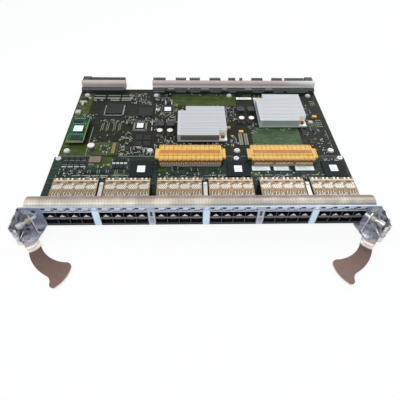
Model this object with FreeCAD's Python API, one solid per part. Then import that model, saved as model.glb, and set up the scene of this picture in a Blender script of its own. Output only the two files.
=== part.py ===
import FreeCAD, Part
import math
import os

# Switch line card: a 48-port blade for a storage network chassis, lying flat on
# its carrier tray with the component side up and both ejectors swung open.
# Millimetres. +X runs to the right along the front panel, +Y from the panel
# to the backplane, +Z up. The origin is on the underside of the tray. Lengths
# along Y are counted from the front face of the panel, and save() puts that
# face at panel_y.

V = FreeCAD.Vector

# ---- driving dimensions -------------------------------------------------

panel_y = -150.0          # front face of the panel, from the origin

# carrier tray, standoffs and the two boards
tray_t = 1.2
tray_lip_h = 1.9          # stiffening lips along the two long edges
tray_front_y = 3.0
tray_rear_y = 302.0
tray_inset = 3.0          # bare board edge that runs in the card guides
tongue_l = 5.0            # front edge raised to meet the panel's bottom flange
standoff_h = 2.3
standoff_r = 2.4
board_t = 3.0
port_board_inset = (4.5, 1.8)     # left and right edge of the port board, from the panel's ends
main_board_x = (-207.5, 212.0)
board_front_y = 9.0
seam_y = 123.6
seam_gap = 0.4
board_rear_y = 307.0

# front panel: as wide as its six groups of ports and the two ends
left_end_w = 26.8         # from each end of the panel to the nearest cage
right_end_w = 16.8
pillar_w = 8.8            # panel between two cages
panel_t = 1.5
panel_h = 33.0
panel_drop = 2.5          # how far the panel reaches below the board's top
top_flange_l = 18.6
top_flange_edge = 0.2      # the top flange runs this far past the shielding strip
bottom_flange_l = 8.2

# stacked port cages
group_count = 6
column_count = 4
row_count = 2
cell_w = 13.85
cell_h = 9.4
cell_depth = 46.5
cage_wall = 0.4
spacer_h = 2.8
cage_depth = 57.3
window_gap = 0.3
latch_w = 5.6
latch_l = 4.2
latch_t = 0.5
latch_setback = 0.5       # behind the spacer's front edge

# light windows above the ports and in two of the pillars
light_w = 7.6
light_h = 1.7
light_above = 2.6         # from the cage's top to the lower edge of the window
status_w = 3.0
status_h = 9.0

# countersunk hole in the left end of the panel
end_hole_x = 10.6         # outside the first cage
end_hole_z = 29.2
end_hole_r = 2.2
end_sink_r = 3.6
end_sink_d = 0.8

# shielding strip on the top flange
gasket_w = 417.0
gasket_t = 0.5
gasket_rise = 3.0
gasket_front_y = 1.8

# support posts between cages
post_w = 5.0
post_l = 50.0
post_top_gap = 1.2        # below the cage's top
post_hole_d = 6.0
post_screw_l = 5.5
post_screw_head_h = 1.0
post_screw_inset = 0.2    # head, inside the bar's edges

# ejector pockets and levers, given for the left side and mirrored
bracket_t = 1.2
pocket_l = 29.0
pocket_w = 26.0
pocket_tail = 8.0         # floor and side wall run on behind the panel's face
tail_drop = 12.0          # the wall is this much lower there
floor_taper_w = 5.0       # the floor narrows towards its front in two runs
floor_nose_w = 13.0
floor_nose_l = 9.0
stop_flange_w = 6.0
pivot_inset = 9.1         # each pivot, from the end of the panel
pivot_y = -21.1
pivot_r = 2.45
pivot_clearance = 0.05
pivot_head_r = 3.6
rivet_head_h = 1.0
lever_gap = 0.3           # lever above the pocket floor
lever_t = 2.0
lever_step = 2.0          # the handle lies this much lower than the hub
step_start = 13.4         # along the neck, from the pivot
step_run = 3.2
open_angle = 45.0         # the lever stands this far from its closed place
slot_clearance = 0.6      # round the lever's claw
hub_r = 7.0
claw_r = 12.3
shoulder_r = 7.6          # the lever's outline, each point by its distance from the pivot
waist_out_r = 13.1
neck_out_r = 18.7
outer_bow_r = 38.3
heel_r = 58.9
hook_bow_r = 65.7
hook_r = 72.0
tip_bow_r = 76.3
tip_r = 79.2
tail_bow_r = 77.0
tail_r = 71.7
brow_bow_r = 66.5
brow_r = 60.3
inner_bow_r = 40.2
neck_in_r = 17.6
waist_in_r = 13.6
hip_r = 11.3
join_r = 7.6              # the joining rivet, from the pivot
plate_outer_l = 1.0       # the screw bracket's plate, outward and inward of the pivot
plate_inner_l = 12.5
plate_shoulder_r = 14.3
plate_crest_r = 15.3
plate_corner_l = 6.0
plate_gap = 0.5           # to the stop flange
tab_t = 1.2
tab_w = 11.0
tab_setback = 8.0         # between the closed tab and the panel
screw_offset = 1.5        # screw axis outside the pivot, lever closed
screw_z = 30.0
screw_r = 1.95
screw_clearance = 0.05
knob_r = 4.0
knob_l = 6.8
knob_slot_w = 1.2
knob_slot_d = 1.6
ferrule_r = 3.5
ferrule_neck_r = 2.8
ferrule_l = 5.0
screw_travel = 4.2        # knob washer to ferrule, screw drawn back
washer_r = 3.8
washer_t = 0.8
tip_setback = 2.0         # screw tip to the panel, lever closed
join_rivet_r = 1.8
join_rivet_head_r = 3.2
nut_neck_r = 4.5
nut_flange_r = 5.2
nut_flange_t = 3.0
nut_seat_gap = 0.05       # neck in the panel's hole
nut_clearance = 0.15

# heatsinks, each on its switch chip
sink_w = 76.0
sink_l = 76.0
sink_h = 13.5
sink_base_t = 3.0
sink_a = (4.7, 193.7)     # middle of each heatsink
sink_b = (135.4, 230.0)
fin_count = 19
fin_t = 0.6
fin_tab_gap = 0.5         # between the folded tops of neighbouring fins
notch_w = 12.5
notch_l = 13.0
chip_w = 45.0
chip_h = 1.8
push_pin_r = 1.5
push_pin_head_r = 3.0
push_pin_head_t = 1.2
spring_r = 2.4
spring_wire_r = 0.35
spring_turns = 5
spring_h = 5.5            # between the base plate and the pin's head

# bridge connectors over the seam
bridge_x = (-13.8, 120.2)
bridge_w = 91.0
bridge_l = 35.0
bridge_cover_h = 4.0
bridge_socket_h = 6.5
bridge_socket_l = 14.0
bridge_ear_w = 5.5
bridge_ear_l = 20.0
bridge_rib_pitch = 6.5
bridge_rib_d = 1.4
bridge_band_l = 8.5
bridge_band_h = 1.4

# backplane connectors and the bars that tie them together
connector_front_y = 293.0
connector_rear_y = 325.0
connector_low_h = 9.0
connector_high_h = 14.0
connector_drop = 3.0      # mating end below the board's top
bar_front_y = 299.0
bar_w = 10.0
bar_h = 10.5
left_bar_x = (-204.0, -127.5)
right_bar_x = (-80.0, 210.0)
left_modules = [(-190.5, -130.5)]
right_modules = [(-80.0, -58.0), (-39.5, -20.5), (-14.5, 4.5), (22.0, 42.0), (56.5, 69.0),
                 (77.0, 82.0), (99.0, 119.0), (136.0, 155.0), (160.0, 194.5)]
guide_w = 14.0
guide_bore_r = 3.5
guide_bore_l = 14.0
guide_rise = 1.5          # guide block above its neighbours
wafer_pitch = 3.0
wafer_gap = 0.7

# parts on the main board: (x, y) of the middle
control_chip_at = (-141.0, 242.0)
control_chip_w = 28.0
control_chip_h = 3.2
lead_l = 2.4
lead_t = 0.5
small_chip_at = (-94.0, 197.0)
small_chip_w = 16.0
small_chip_h = 2.0
memory_at = [(-93.0, 167.5), (-80.0, 167.5), (-93.0, 153.5), (-80.0, 153.5)]
memory_w = 10.5
memory_l = 12.0
memory_h = 1.4
logic_at = [(-88.0, 236.0)]
logic_w = 24.0
logic_h = 1.6
port_chip_at = [(-83.5, 96.5), (54.5, 96.5), (192.5, 96.5)]
port_chip_w = 32.0
port_chip_h = 1.8
shield_at = (-151.5, 115.8)
shield_w = 16.5
shield_l = 13.0
shield_h = 2.6
bulk_cap_at = [(-160.0, 138.5)]
bulk_cap_r = 5.4
bulk_cap_h = 10.0
filter_cap_at = [(-61.2, 177.0), (-45.4, 177.0), (70.0, 210.0), (86.0, 210.0)]
filter_cap_r = 4.7
filter_cap_h = 8.0
coil_at = [(-62.5, 199.0), (-45.0, 199.0), (71.5, 240.0), (89.8, 240.0)]
coil_w = 12.5
coil_h = 5.0
tantalum_at = [(46.9, 191.5), (66.9, 181.5), (193.9, 222.0)]
tantalum_w = 7.3
tantalum_l = 4.3
tantalum_h = 2.9
card_at = (-187.0, 180.0)
card_w = 26.0
card_l = 64.0
card_t = 1.2
card_lift = 6.0
card_socket_l = 7.0
card_chip_w = 15.0
card_chip_h = 1.6
header_at = (-128.5, 141.0)
header_w = 5.2
header_l = 24.0
header_h = 2.0

# board screws: x positions in three rows, and the rows' distances
rear_screw_x = (-195.0, -73.5, 56.0, 198.0)
rear_screw_inset = 20.0
seam_screw_x = (-197.0, -74.0, 56.4, 198.6)
seam_screw_inset = 12.7
front_screw_edge = 6.8     # the front row's outer screws, from the port board's side edges
front_screw_x = 53.6       # its middle screw
front_screw_inset = 4.8
board_screw_r = 1.45
board_hole_r = 1.7
screw_head_r = 3.9
screw_head_h = 2.0
screw_recess_r = 1.6
screw_recess_d = 1.2
flange_rivet_r = 1.4
flange_rivet_head_r = 2.4
flange_rivet_head_h = 0.9
flange_rivet_count = 7
flange_rivet_inset = 14.8  # the last rivets, from the ends of the tray's front edge

# ---- sizes worked out from these ----------------------------------------

board_z = tray_t + standoff_h
top_z = board_z + board_t
panel_z = top_z - panel_drop
panel_top_z = panel_z + panel_h
port_pitch = cell_w + cage_wall
cage_w = column_count * port_pitch + cage_wall
group_pitch = cage_w + pillar_w
panel_w = left_end_w + group_count * group_pitch - pillar_w + right_end_w
half_w = panel_w / 2
inner_half_w = half_w - bracket_t
port_board_x = (-half_w + port_board_inset[0], half_w - port_board_inset[1])
cage_h = row_count * cell_h + (row_count - 1) * spacer_h + 2 * cage_wall
cage_top_z = top_z + cage_h
group_x = [-half_w + left_end_w + cage_w / 2 + i * group_pitch for i in range(group_count)]
gap_x = [x + group_pitch / 2 for x in group_x[:-1]]
post_x = gap_x[0::2]
status_x = gap_x[1::2]
floor_z = panel_z + bracket_t
lever_z = floor_z + lever_gap
mount_z = lever_z + lever_t
plate_z = mount_z + bracket_t
head_z = plate_z + 0.15
slot_top_z = mount_z + slot_clearance
pivot_x = half_w - pivot_inset
screw_z_top = screw_z + ferrule_r + 2.5
sink_z = top_z + chip_h
seam_rear_y = seam_y + seam_gap
rear_screw_y = board_rear_y - rear_screw_inset
seam_screw_y = seam_rear_y + seam_screw_inset
front_screw_y = seam_y - front_screw_inset
screw_places = ([(x, rear_screw_y) for x in rear_screw_x]
                + [(x, seam_screw_y) for x in seam_screw_x]
                + [(port_board_x[0] + front_screw_edge, front_screw_y), (front_screw_x, front_screw_y),
                   (port_board_x[1] - front_screw_edge, front_screw_y)])


# ---- helpers ------------------------------------------------------------

def box(x0, x1, y0, y1, z0, z1):
    return Part.makeBox(x1 - x0, y1 - y0, z1 - z0, V(x0, y0, z0))


def block(middle, width, length, z, height):
    """A box standing at z over its middle in plan."""
    x, y = middle
    return box(x - width / 2, x + width / 2, y - length / 2, y + length / 2, z, z + height)


def post(x, y, z, r, height):
    return Part.makeCylinder(r, height, V(x, y, z))


def plan(points, z, height):
    """A plate with the given outline in plan."""
    wire = Part.makePolygon([V(x, y, z) for x, y in points] + [V(*points[0], z)])
    return Part.Face(wire).extrude(V(0, 0, height))


def section(points, x0, x1):
    """A bar along X with the given outline in the YZ plane."""
    wire = Part.makePolygon([V(x0, y, z) for y, z in points] + [V(x0, *points[0])])
    return Part.Face(wire).extrude(V(x1 - x0, 0, 0))


def fuse(shapes):
    shapes = list(shapes)
    whole = shapes[0].multiFuse(shapes[1:]) if len(shapes) > 1 else shapes[0]
    return whole.removeSplitter()


def mirrored(shape):
    return shape.mirror(V(0, 0, 0), V(1, 0, 0))


def save(name, shapes):
    """Write one node. A list of shapes is a group of like pieces, side by side."""
    whole = Part.makeCompound(shapes) if isinstance(shapes, list) else shapes
    whole = whole.copy()
    whole.translate(V(0, panel_y, 0))
    whole.exportStep("parts/" + name + ".step")


# ---- carrier tray and boards --------------------------------------------

def carrier_tray():
    """Folded pan under both boards: lips along its sides, front edge stepped up."""
    front = (port_board_x[0] + tray_inset, port_board_x[1] - tray_inset)
    rear = (main_board_x[0] + tray_inset, main_board_x[1] - tray_inset)
    tongue_x = inner_half_w - pocket_w
    tongue_z = panel_z - tray_t
    tongue_y = tray_front_y + tongue_l
    ramp_y = tongue_y + 4.0
    profile = [(tray_front_y, tongue_z), (tongue_y, tongue_z), (ramp_y, 0), (ramp_y + tray_t, 0),
               (ramp_y + tray_t, tray_t), (ramp_y, tray_t), (tongue_y, panel_z),
               (tray_front_y, panel_z)]
    pieces = [section(profile, -tongue_x, tongue_x),
              box(*front, ramp_y, seam_y, 0, tray_t),
              box(*rear, seam_y - tray_t, tray_rear_y, 0, tray_t)]
    for x0, x1, y0, y1 in ((*front, ramp_y, seam_y), (*rear, seam_y, tray_rear_y)):
        for x in (x0, x1 - tray_t):
            pieces.append(box(x, x + tray_t, y0, y1, 0, tray_t + tray_lip_h))
    tray = fuse(pieces)
    for x in flange_rivet_x():
        tray = tray.cut(post(x, rivet_y(), 0, flange_rivet_r, panel_z))
    return tray


def flange_rivet_x():
    reach = inner_half_w - pocket_w - flange_rivet_inset
    return [-reach + 2 * reach * i / (flange_rivet_count - 1) for i in range(flange_rivet_count)]


def rivet_y():
    return (tray_front_y + tray_front_y + tongue_l) / 2


def flange_rivets():
    """Rivets that hold the tray's front edge under the panel's bottom flange."""
    rivets = []
    for x in flange_rivet_x():
        head_z = panel_z - tray_t - flange_rivet_head_h
        head = post(x, rivet_y(), head_z, flange_rivet_head_r, flange_rivet_head_h)
        shank = post(x, rivet_y(), head_z, flange_rivet_r, flange_rivet_head_h + tray_t + panel_t)
        rivets.append(fuse([head, shank]))
    return rivets


def standoffs():
    pieces = []
    for x, y in screw_places:
        wall = post(x, y, tray_t, standoff_r, standoff_h)
        pieces.append(wall.cut(post(x, y, tray_t, board_screw_r, standoff_h)))
    return pieces


def board(x_range, y0, y1):
    blank = box(*x_range, y0, y1, board_z, top_z)
    for x, y in screw_places:
        if y0 < y < y1:
            blank = blank.cut(post(x, y, board_z, board_hole_r, board_t))
    return blank


def board_screws():
    """Pan head screws down through the boards into the standoffs."""
    screws = []
    for x, y in screw_places:
        head = post(x, y, top_z, screw_head_r, screw_head_h)
        recess = post(x, y, top_z + screw_head_h - screw_recess_d, screw_recess_r, screw_recess_d)
        shank = post(x, y, tray_t, board_screw_r, top_z - tray_t)
        screws.append(fuse([head.cut(recess), shank]))
    return screws


# ---- front panel --------------------------------------------------------

def face_panel():
    """Folded sheet: face with six port windows, top and bottom flanges turned back."""
    face = box(-inner_half_w, inner_half_w, 0, panel_t, panel_z, panel_top_z)
    top_x = gasket_w / 2 + top_flange_edge
    top = box(-top_x, top_x, 0, top_flange_l, panel_top_z - panel_t, panel_top_z)
    flange_x = half_w - pocket_w
    bottom = box(-flange_x, flange_x, 0, bottom_flange_l, panel_z, panel_z + panel_t)
    panel = fuse([face, top, bottom])
    cuts = []
    for x in group_x:
        half = cage_w / 2 + window_gap
        cuts.append(box(x - half, x + half, -1, panel_t + 1, top_z - window_gap, cage_top_z + window_gap))
        for column in column_x(x):
            cuts.append(light_opening(column))
    for x in status_x:
        cuts.append(box(x - status_w / 2, x + status_w / 2, -1, panel_t + 1, *status_z()))
    for x in flange_rivet_x():
        cuts.append(post(x, rivet_y(), panel_z, flange_rivet_r, panel_t))
    for side in (-1, 1):
        x0, x1 = sorted((side * flange_x, side * half_w))
        cuts.append(box(x0, x1, -1, panel_t + 1, panel_z, floor_z))
        cuts.append(Part.makeCylinder(nut_neck_r + nut_seat_gap, panel_t,
                                      V(side * screw_x(), 0, screw_z), V(0, 1, 0)))
    end_x = group_x[0] - cage_w / 2 - end_hole_x
    cuts.append(Part.makeCylinder(end_hole_r, panel_t, V(end_x, 0, end_hole_z), V(0, 1, 0)))
    cuts.append(Part.makeCone(end_sink_r, end_hole_r, end_sink_d, V(end_x, 0, end_hole_z), V(0, 1, 0)))
    return panel.cut(Part.makeCompound(cuts))


def column_x(x):
    """Middles of the port columns of the group at x."""
    return [x + (i - (column_count - 1) / 2) * port_pitch for i in range(column_count)]


def light_z():
    z = cage_top_z + light_above
    return z, z + light_h


def light_opening(x):
    return box(x - light_w / 2, x + light_w / 2, -1, panel_t + 1, *light_z())


def status_z():
    z = cage_top_z - status_h
    return z, z + status_h


def screw_x():
    return pivot_x + screw_offset


def light_bars():
    """Clear light pipes, one along each group, with a nose in every window."""
    bars = []
    for x in group_x:
        z0, z1 = light_z()
        bar = box(x - cage_w / 2, x + cage_w / 2, panel_t, panel_t + 3.0, z0 - 1.0, z1 + 1.0)
        noses = [box(c - light_w / 2 + 0.1, c + light_w / 2 - 0.1, 0.3, panel_t, z0 + 0.1, z1 - 0.1)
                 for c in column_x(x)]
        bars.append(fuse([bar] + noses))
    return bars


def status_lenses():
    """Dark lenses behind the slots in two of the pillars."""
    z0, z1 = status_z()
    lenses = []
    for x in status_x:
        body = box(x - status_w / 2 - 0.8, x + status_w / 2 + 0.8, panel_t, panel_t + 2.0, z0 - 1, z1 + 1)
        nose = box(x - status_w / 2 + 0.1, x + status_w / 2 - 0.1, 0.7, panel_t, z0 + 0.1, z1 - 0.1)
        lenses.append(fuse([body, nose]))
    return lenses


def top_gasket():
    """Finger strip arched over the top flange, its two edges resting on it."""
    rear_y = top_flange_l - 0.2
    mid_y = (gasket_front_y + rear_y) / 2
    z = panel_top_z
    outer = Part.Arc(V(0, gasket_front_y, z), V(0, mid_y, z + gasket_rise), V(0, rear_y, z)).toShape()
    inner = Part.Arc(V(0, rear_y - gasket_t * 2, z), V(0, mid_y, z + gasket_rise - gasket_t),
                     V(0, gasket_front_y + gasket_t * 2, z)).toShape()
    foot_a = Part.makeLine(V(0, rear_y, z), V(0, rear_y - gasket_t * 2, z))
    foot_b = Part.makeLine(V(0, gasket_front_y + gasket_t * 2, z), V(0, gasket_front_y, z))
    strip = Part.Face(Part.Wire([outer, foot_a, inner, foot_b])).extrude(V(gasket_w, 0, 0))
    strip.translate(V(-gasket_w / 2, 0, 0))
    return strip


def panel_posts():
    """Bars from the panel's back to the port board, between pairs of cages."""
    top = cage_top_z - post_top_gap
    posts = []
    for x in post_x:
        bar = box(x - post_w / 2, x + post_w / 2, panel_t, post_l, top_z, top)
        hole = post(x, post_l - post_w / 2, top - post_hole_d, board_screw_r, post_hole_d)
        posts.append(bar.cut(hole))
    return posts


def post_screws():
    top = cage_top_z - post_top_gap
    screws = []
    for x in post_x:
        y = post_l - post_w / 2
        head = post(x, y, top, post_w / 2 - post_screw_inset, post_screw_head_h)
        shank = post(x, y, top - post_screw_l, board_screw_r, post_screw_l)
        screws.append(fuse([head, shank]))
    return screws


# ---- port cages ---------------------------------------------------------

def port_cage(x):
    """One stacked cage, given as its sheets: top, base, sides, back and three dividers, with a
    spacer and a latch tongue in each column."""
    x0, x1 = x - cage_w / 2, x + cage_w / 2
    z0, z1 = top_z + cage_wall, cage_top_z - cage_wall
    rear_y = cage_depth - cage_wall
    sheets = [box(x0, x1, 0, cage_depth, z1, cage_top_z),
              box(x0, x1, 0, cage_depth, top_z, z0),
              box(x0 + cage_wall, x1 - cage_wall, rear_y, cage_depth, z0, z1)]
    for side_x in (x0, x1 - cage_wall):
        sheets.append(box(side_x, side_x + cage_wall, 0, cage_depth, z0, z1))
    for i in range(1, column_count):
        wall_x = x0 + i * port_pitch
        sheets.append(box(wall_x, wall_x + cage_wall, 0, cell_depth, z0, z1))
    spacer_z = z0 + cell_h
    for column in column_x(x):
        sheets.append(box(column - cell_w / 2, column + cell_w / 2, 0, cell_depth,
                          spacer_z, spacer_z + spacer_h))
        tongue = Part.makeWedge(0, 0, 0, 0, 0, latch_w, latch_l, latch_t, 0, latch_w)
        tongue.translate(V(column - latch_w / 2, latch_setback, spacer_z + spacer_h))
        sheets.append(tongue)
    return sheets


def port_connectors(x):
    """Stacked receptacles at the back of each column of ports."""
    z0, z1 = top_z + cage_wall, cage_top_z - cage_wall
    nose_w, nose_h, nose_l = 11.2, 5.0, 7.0
    pieces = []
    for column in column_x(x):
        half = port_pitch / 2
        body = box(max(column - half, x - cage_w / 2 + cage_wall),
                   min(column + half, x + cage_w / 2 - cage_wall),
                   cell_depth, cage_depth - cage_wall, z0, z1)
        noses = []
        for row in range(row_count):
            z = z0 + row * (cell_h + spacer_h) + (cell_h - nose_h) / 2
            nose = box(column - nose_w / 2, column + nose_w / 2, cell_depth - nose_l, cell_depth,
                       z, z + nose_h)
            slot = box(column - nose_w / 2 + 1, column + nose_w / 2 - 1,
                       cell_depth - nose_l, cell_depth - 1, z + 1.9, z + nose_h - 1.9)
            noses.append(nose.cut(slot))
        pieces.append(fuse([body] + noses))
    return pieces


# ---- ejectors (left side; the right side is the mirror image) -----------

pivot = V(-pivot_x, pivot_y, 0)


def from_pivot(r, angle):
    """Point at a distance and direction from the pivot, lever open."""
    a = math.radians(angle)
    return -pivot_x + r * math.cos(a), pivot_y + r * math.sin(a)


def opened(shape):
    """Turn a shape from the lever's closed place to its open one."""
    return shape.rotate(pivot, V(0, 0, 1), -open_angle)


def ejector_bracket():
    """Pocket at the end of the panel: floor, side wall and a stop flange turned in."""
    left, inner = -half_w, -half_w + pocket_w
    floor = plan([(left, pocket_tail), (inner, pocket_tail), (inner, 0),
                  (inner - floor_taper_w, floor_nose_l - pocket_l), (inner - floor_nose_w, -pocket_l),
                  (left, -pocket_l)],
                 panel_z, bracket_t)
    wall = box(left, left + bracket_t, -pocket_l, 0, panel_z, panel_top_z)
    tail = box(left, left + bracket_t, 0, pocket_tail, panel_z, panel_top_z - tail_drop)
    flange = section_y([(left, panel_z), (left + stop_flange_w, panel_z),
                        (left + stop_flange_w, panel_top_z - stop_flange_w), (left, panel_top_z)],
                       -pocket_l, bracket_t)
    slot = box(left - 1, left + bracket_t, pivot_y - 3.2, pivot_y + claw_r - 1.4, floor_z, slot_top_z)
    bracket = fuse([floor, wall, tail, flange]).cut(slot)
    return bracket.cut(post(*from_pivot(0, 0), panel_z, pivot_r, bracket_t))


def section_y(points, y, depth):
    """A plate facing along Y with the given outline in the XZ plane."""
    wire = Part.makePolygon([V(x, y, z) for x, z in points] + [V(points[0][0], y, points[0][1])])
    return Part.Face(wire).extrude(V(0, depth, 0))


def arc(a, b, c):
    return Part.Arc(V(*a, 0), V(*b, 0), V(*c, 0)).toShape()


def line(a, b):
    return Part.makeLine(V(*a, 0), V(*b, 0))


def lever_outline():
    """Plan of the whole lever: claw, hub, neck and the fish-tail handle."""
    claw = [from_pivot(hub_r, 85), from_pivot(claw_r, 108), from_pivot(claw_r, 130),
            from_pivot(hub_r, 165)]
    neck_out = [from_pivot(shoulder_r, 251.6), from_pivot(waist_out_r, 273.9),
                from_pivot(neck_out_r, 288.1)]
    heel, hook, tip = from_pivot(heel_r, 303.9), from_pivot(hook_r, 303.7), from_pivot(tip_r, 306.0)
    tail, brow = from_pivot(tail_r, 325.2), from_pivot(brow_r, 327.5)
    neck_in = [from_pivot(neck_in_r, 338.7), from_pivot(waist_in_r, 352.0), from_pivot(hip_r, 45.0)]
    edges = [line(claw[0], claw[1]), line(claw[1], claw[2]), line(claw[2], claw[3]),
             arc(claw[3], from_pivot(hub_r, 205), from_pivot(hub_r, 245)),
             line(from_pivot(hub_r, 245), neck_out[0]), line(neck_out[0], neck_out[1]),
             line(neck_out[1], neck_out[2]),
             arc(neck_out[2], from_pivot(outer_bow_r, 294.5), heel),
             arc(heel, from_pivot(hook_bow_r, 305.6), hook),
             arc(hook, from_pivot(tip_bow_r, 303.7), tip),
             arc(tip, from_pivot(tail_bow_r, 315.7), tail),
             arc(tail, from_pivot(brow_bow_r, 328.8), brow),
             arc(brow, from_pivot(inner_bow_r, 321.0), neck_in[0]),
             line(neck_in[0], neck_in[1]), line(neck_in[1], neck_in[2]),
             line(neck_in[2], claw[0])]
    return Part.Face(Part.Wire(edges))


def lever():
    """Stamped lever: flat hub, a step down across the neck, flat handle."""
    neck_angle = -54.0
    reach = 110.0
    top, bottom = mount_z, lever_z
    low = lever_step
    ramp = step_start + step_run
    side = [(-reach, bottom), (step_start, bottom), (ramp, bottom - low), (reach, bottom - low),
            (reach, top - low), (ramp, top - low), (step_start, top), (-reach, top)]
    sheet = section_y([(x, z) for x, z in side], -reach, 2 * reach)
    sheet.rotate(V(0, 0, 0), V(0, 0, 1), neck_angle)
    sheet.translate(pivot)
    body = lever_outline().extrude(V(0, 0, plate_z)).common(sheet)
    body = body.cut(post(*from_pivot(0, 0), 0, pivot_r + pivot_clearance, plate_z))
    return body.cut(post(*join_place(), 0, join_rivet_r, plate_z))


def join_place():
    return from_pivot(join_r, 32)


def screw_bracket():
    """Plate riveted on the lever's hub, with the upright tab that holds the screw."""
    front = -pocket_l + bracket_t + plate_gap
    left, right = -pivot_x - plate_outer_l, -pivot_x + plate_inner_l
    corner = plate_corner_l
    shoulder, crest = from_pivot(plate_shoulder_r, 29), from_pivot(plate_crest_r, 72.5)
    edge = [line((left, front), (right - corner, front)),
            arc((right - corner, front), (right - 0.3 * corner, front + 0.3 * corner),
                (right, front + corner)),
            line((right, front + corner), shoulder), line(shoulder, crest),
            line(crest, from_pivot(hub_r, 120)),
            arc(from_pivot(hub_r, 120), from_pivot(hub_r, 180), from_pivot(hub_r, 240)),
            line(from_pivot(hub_r, 240), (left, front))]
    plate = Part.Face(Part.Wire(edge)).extrude(V(0, 0, bracket_t))
    plate.translate(V(0, 0, mount_z))
    tab_y = -tab_setback - tab_t
    middle = -screw_x()
    half = tab_w / 2
    tab = section_y([(middle - half, mount_z), (middle + half, mount_z),
                     (middle + half, screw_z + 2.0), (middle + half - 3.5, screw_z_top),
                     (middle - half + 3.5, screw_z_top), (middle - half, screw_z + 2.0)],
                    tab_y, tab_t)
    tab = tab.cut(Part.makeCylinder(ferrule_neck_r, tab_t, V(middle, tab_y, screw_z), V(0, 1, 0)))
    bracket = fuse([plate, opened(tab)])
    bracket = bracket.cut(post(*from_pivot(0, 0), 0, pivot_r + pivot_clearance, plate_z))
    return bracket.cut(post(*join_place(), 0, join_rivet_r, plate_z))


def along_screw(radius, start, length):
    """A round piece on the screw's axis, lever open, counted from the panel's face."""
    piece = Part.makeCylinder(radius, length, V(-screw_x(), -start - length, screw_z), V(0, 1, 0))
    return opened(piece)


def tab_front():
    return tab_setback + tab_t


def washer_start():
    return tab_front() + ferrule_l + screw_travel


def knob_start():
    return washer_start() + washer_t


def ferrule():
    body = along_screw(ferrule_r, tab_front(), ferrule_l)
    neck = along_screw(ferrule_neck_r, tab_setback, tab_t)
    bore = along_screw(screw_r + screw_clearance, tab_setback, tab_t + ferrule_l)
    return fuse([body, neck]).cut(bore)


def screw_washer():
    ring = along_screw(washer_r, washer_start(), washer_t)
    return ring.cut(along_screw(screw_r + screw_clearance, washer_start(), washer_t))


def captive_screw():
    knob = Part.makeCylinder(knob_r, knob_l, V(-screw_x(), -knob_start() - knob_l, screw_z), V(0, 1, 0))
    knob = knob.makeChamfer(0.5, knob.Edges[:1] + knob.Edges[2:3])
    slot = box(-screw_x() - knob_r, -screw_x() + knob_r, -knob_start() - knob_l,
               -knob_start() - knob_l + knob_slot_d, screw_z - knob_slot_w / 2, screw_z + knob_slot_w / 2)
    knob = opened(knob.cut(slot))
    shank = along_screw(screw_r, tip_setback, knob_start() - tip_setback)
    return fuse([knob, shank])


def pivot_rivet():
    x, y = from_pivot(0, 0)
    pin = post(x, y, panel_z, pivot_r, head_z - panel_z)
    return fuse([pin, post(x, y, head_z, pivot_head_r, rivet_head_h)])


def join_rivet():
    x, y = join_place()
    pin = post(x, y, lever_z, join_rivet_r, plate_z - lever_z)
    return fuse([pin, post(x, y, plate_z, join_rivet_head_r, rivet_head_h)])


def screw_receptacle():
    """Clinch nut behind the panel that takes the captive screw."""
    x = -screw_x()
    flange = Part.makeCylinder(nut_flange_r, nut_flange_t, V(x, panel_t, screw_z), V(0, 1, 0))
    neck = Part.makeCylinder(nut_neck_r, panel_t, V(x, 0, screw_z), V(0, 1, 0))
    bore = Part.makeCylinder(screw_r + nut_clearance, panel_t + nut_flange_t,
                             V(x, 0, screw_z), V(0, 1, 0))
    return fuse([flange, neck]).cut(bore)


# ---- heatsinks and their chips ------------------------------------------

def heatsink(middle):
    """Base plate with folded fins; two corners are cut away for the push pins."""
    x, y = middle
    x0, x1 = x - sink_w / 2, x + sink_w / 2
    y0, y1 = y - sink_l / 2, y + sink_l / 2
    top = top_z + chip_h + sink_h
    pitch = (sink_l - fin_t) / fin_count
    fins = [box(x0, x1, y0, y1, sink_z, sink_z + sink_base_t)]
    for i in range(fin_count + 1):
        fin_y = y0 + i * pitch
        fin_z = sink_z + sink_base_t
        if i < fin_count:
            profile = [(fin_y, fin_z), (fin_y + fin_t, fin_z), (fin_y + fin_t, top - fin_t),
                       (fin_y + pitch - fin_tab_gap, top - fin_t), (fin_y + pitch - fin_tab_gap, top),
                       (fin_y, top)]
            fins.append(section(profile, x0, x1))
        else:
            fins.append(box(x0, x1, fin_y, fin_y + fin_t, fin_z, top))
    sink = fuse(fins)
    fin_room = (sink_z + sink_base_t, top + 1)
    rear_notch = box(x0 - 1, x0 + notch_w, y1 - notch_l, y1 + 1, *fin_room)
    front_notch = box(x1 - notch_w, x1 + 1, y0 - 1, y0 + notch_l, *fin_room)
    sink = sink.cut(Part.makeCompound([rear_notch, front_notch]))
    for px, py in pin_places(middle):
        sink = sink.cut(post(px, py, sink_z, push_pin_r + 0.2, sink_base_t))
    return sink


def pin_places(middle):
    x, y = middle
    dx, dy = sink_w / 2 - notch_w / 2, sink_l / 2 - notch_l / 2
    return [(x - dx, y + dy), (x + dx, y - dy)]


def spring_top_z():
    return sink_z + sink_base_t + spring_h


def push_pins():
    """Pins that hold each heatsink down through its two notches."""
    pins = []
    for middle in (sink_a, sink_b):
        for x, y in pin_places(middle):
            shank = post(x, y, top_z, push_pin_r, spring_top_z() - top_z)
            head = post(x, y, spring_top_z(), push_pin_head_r, push_pin_head_t)
            pins.append(fuse([shank, head]))
    return pins


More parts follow.
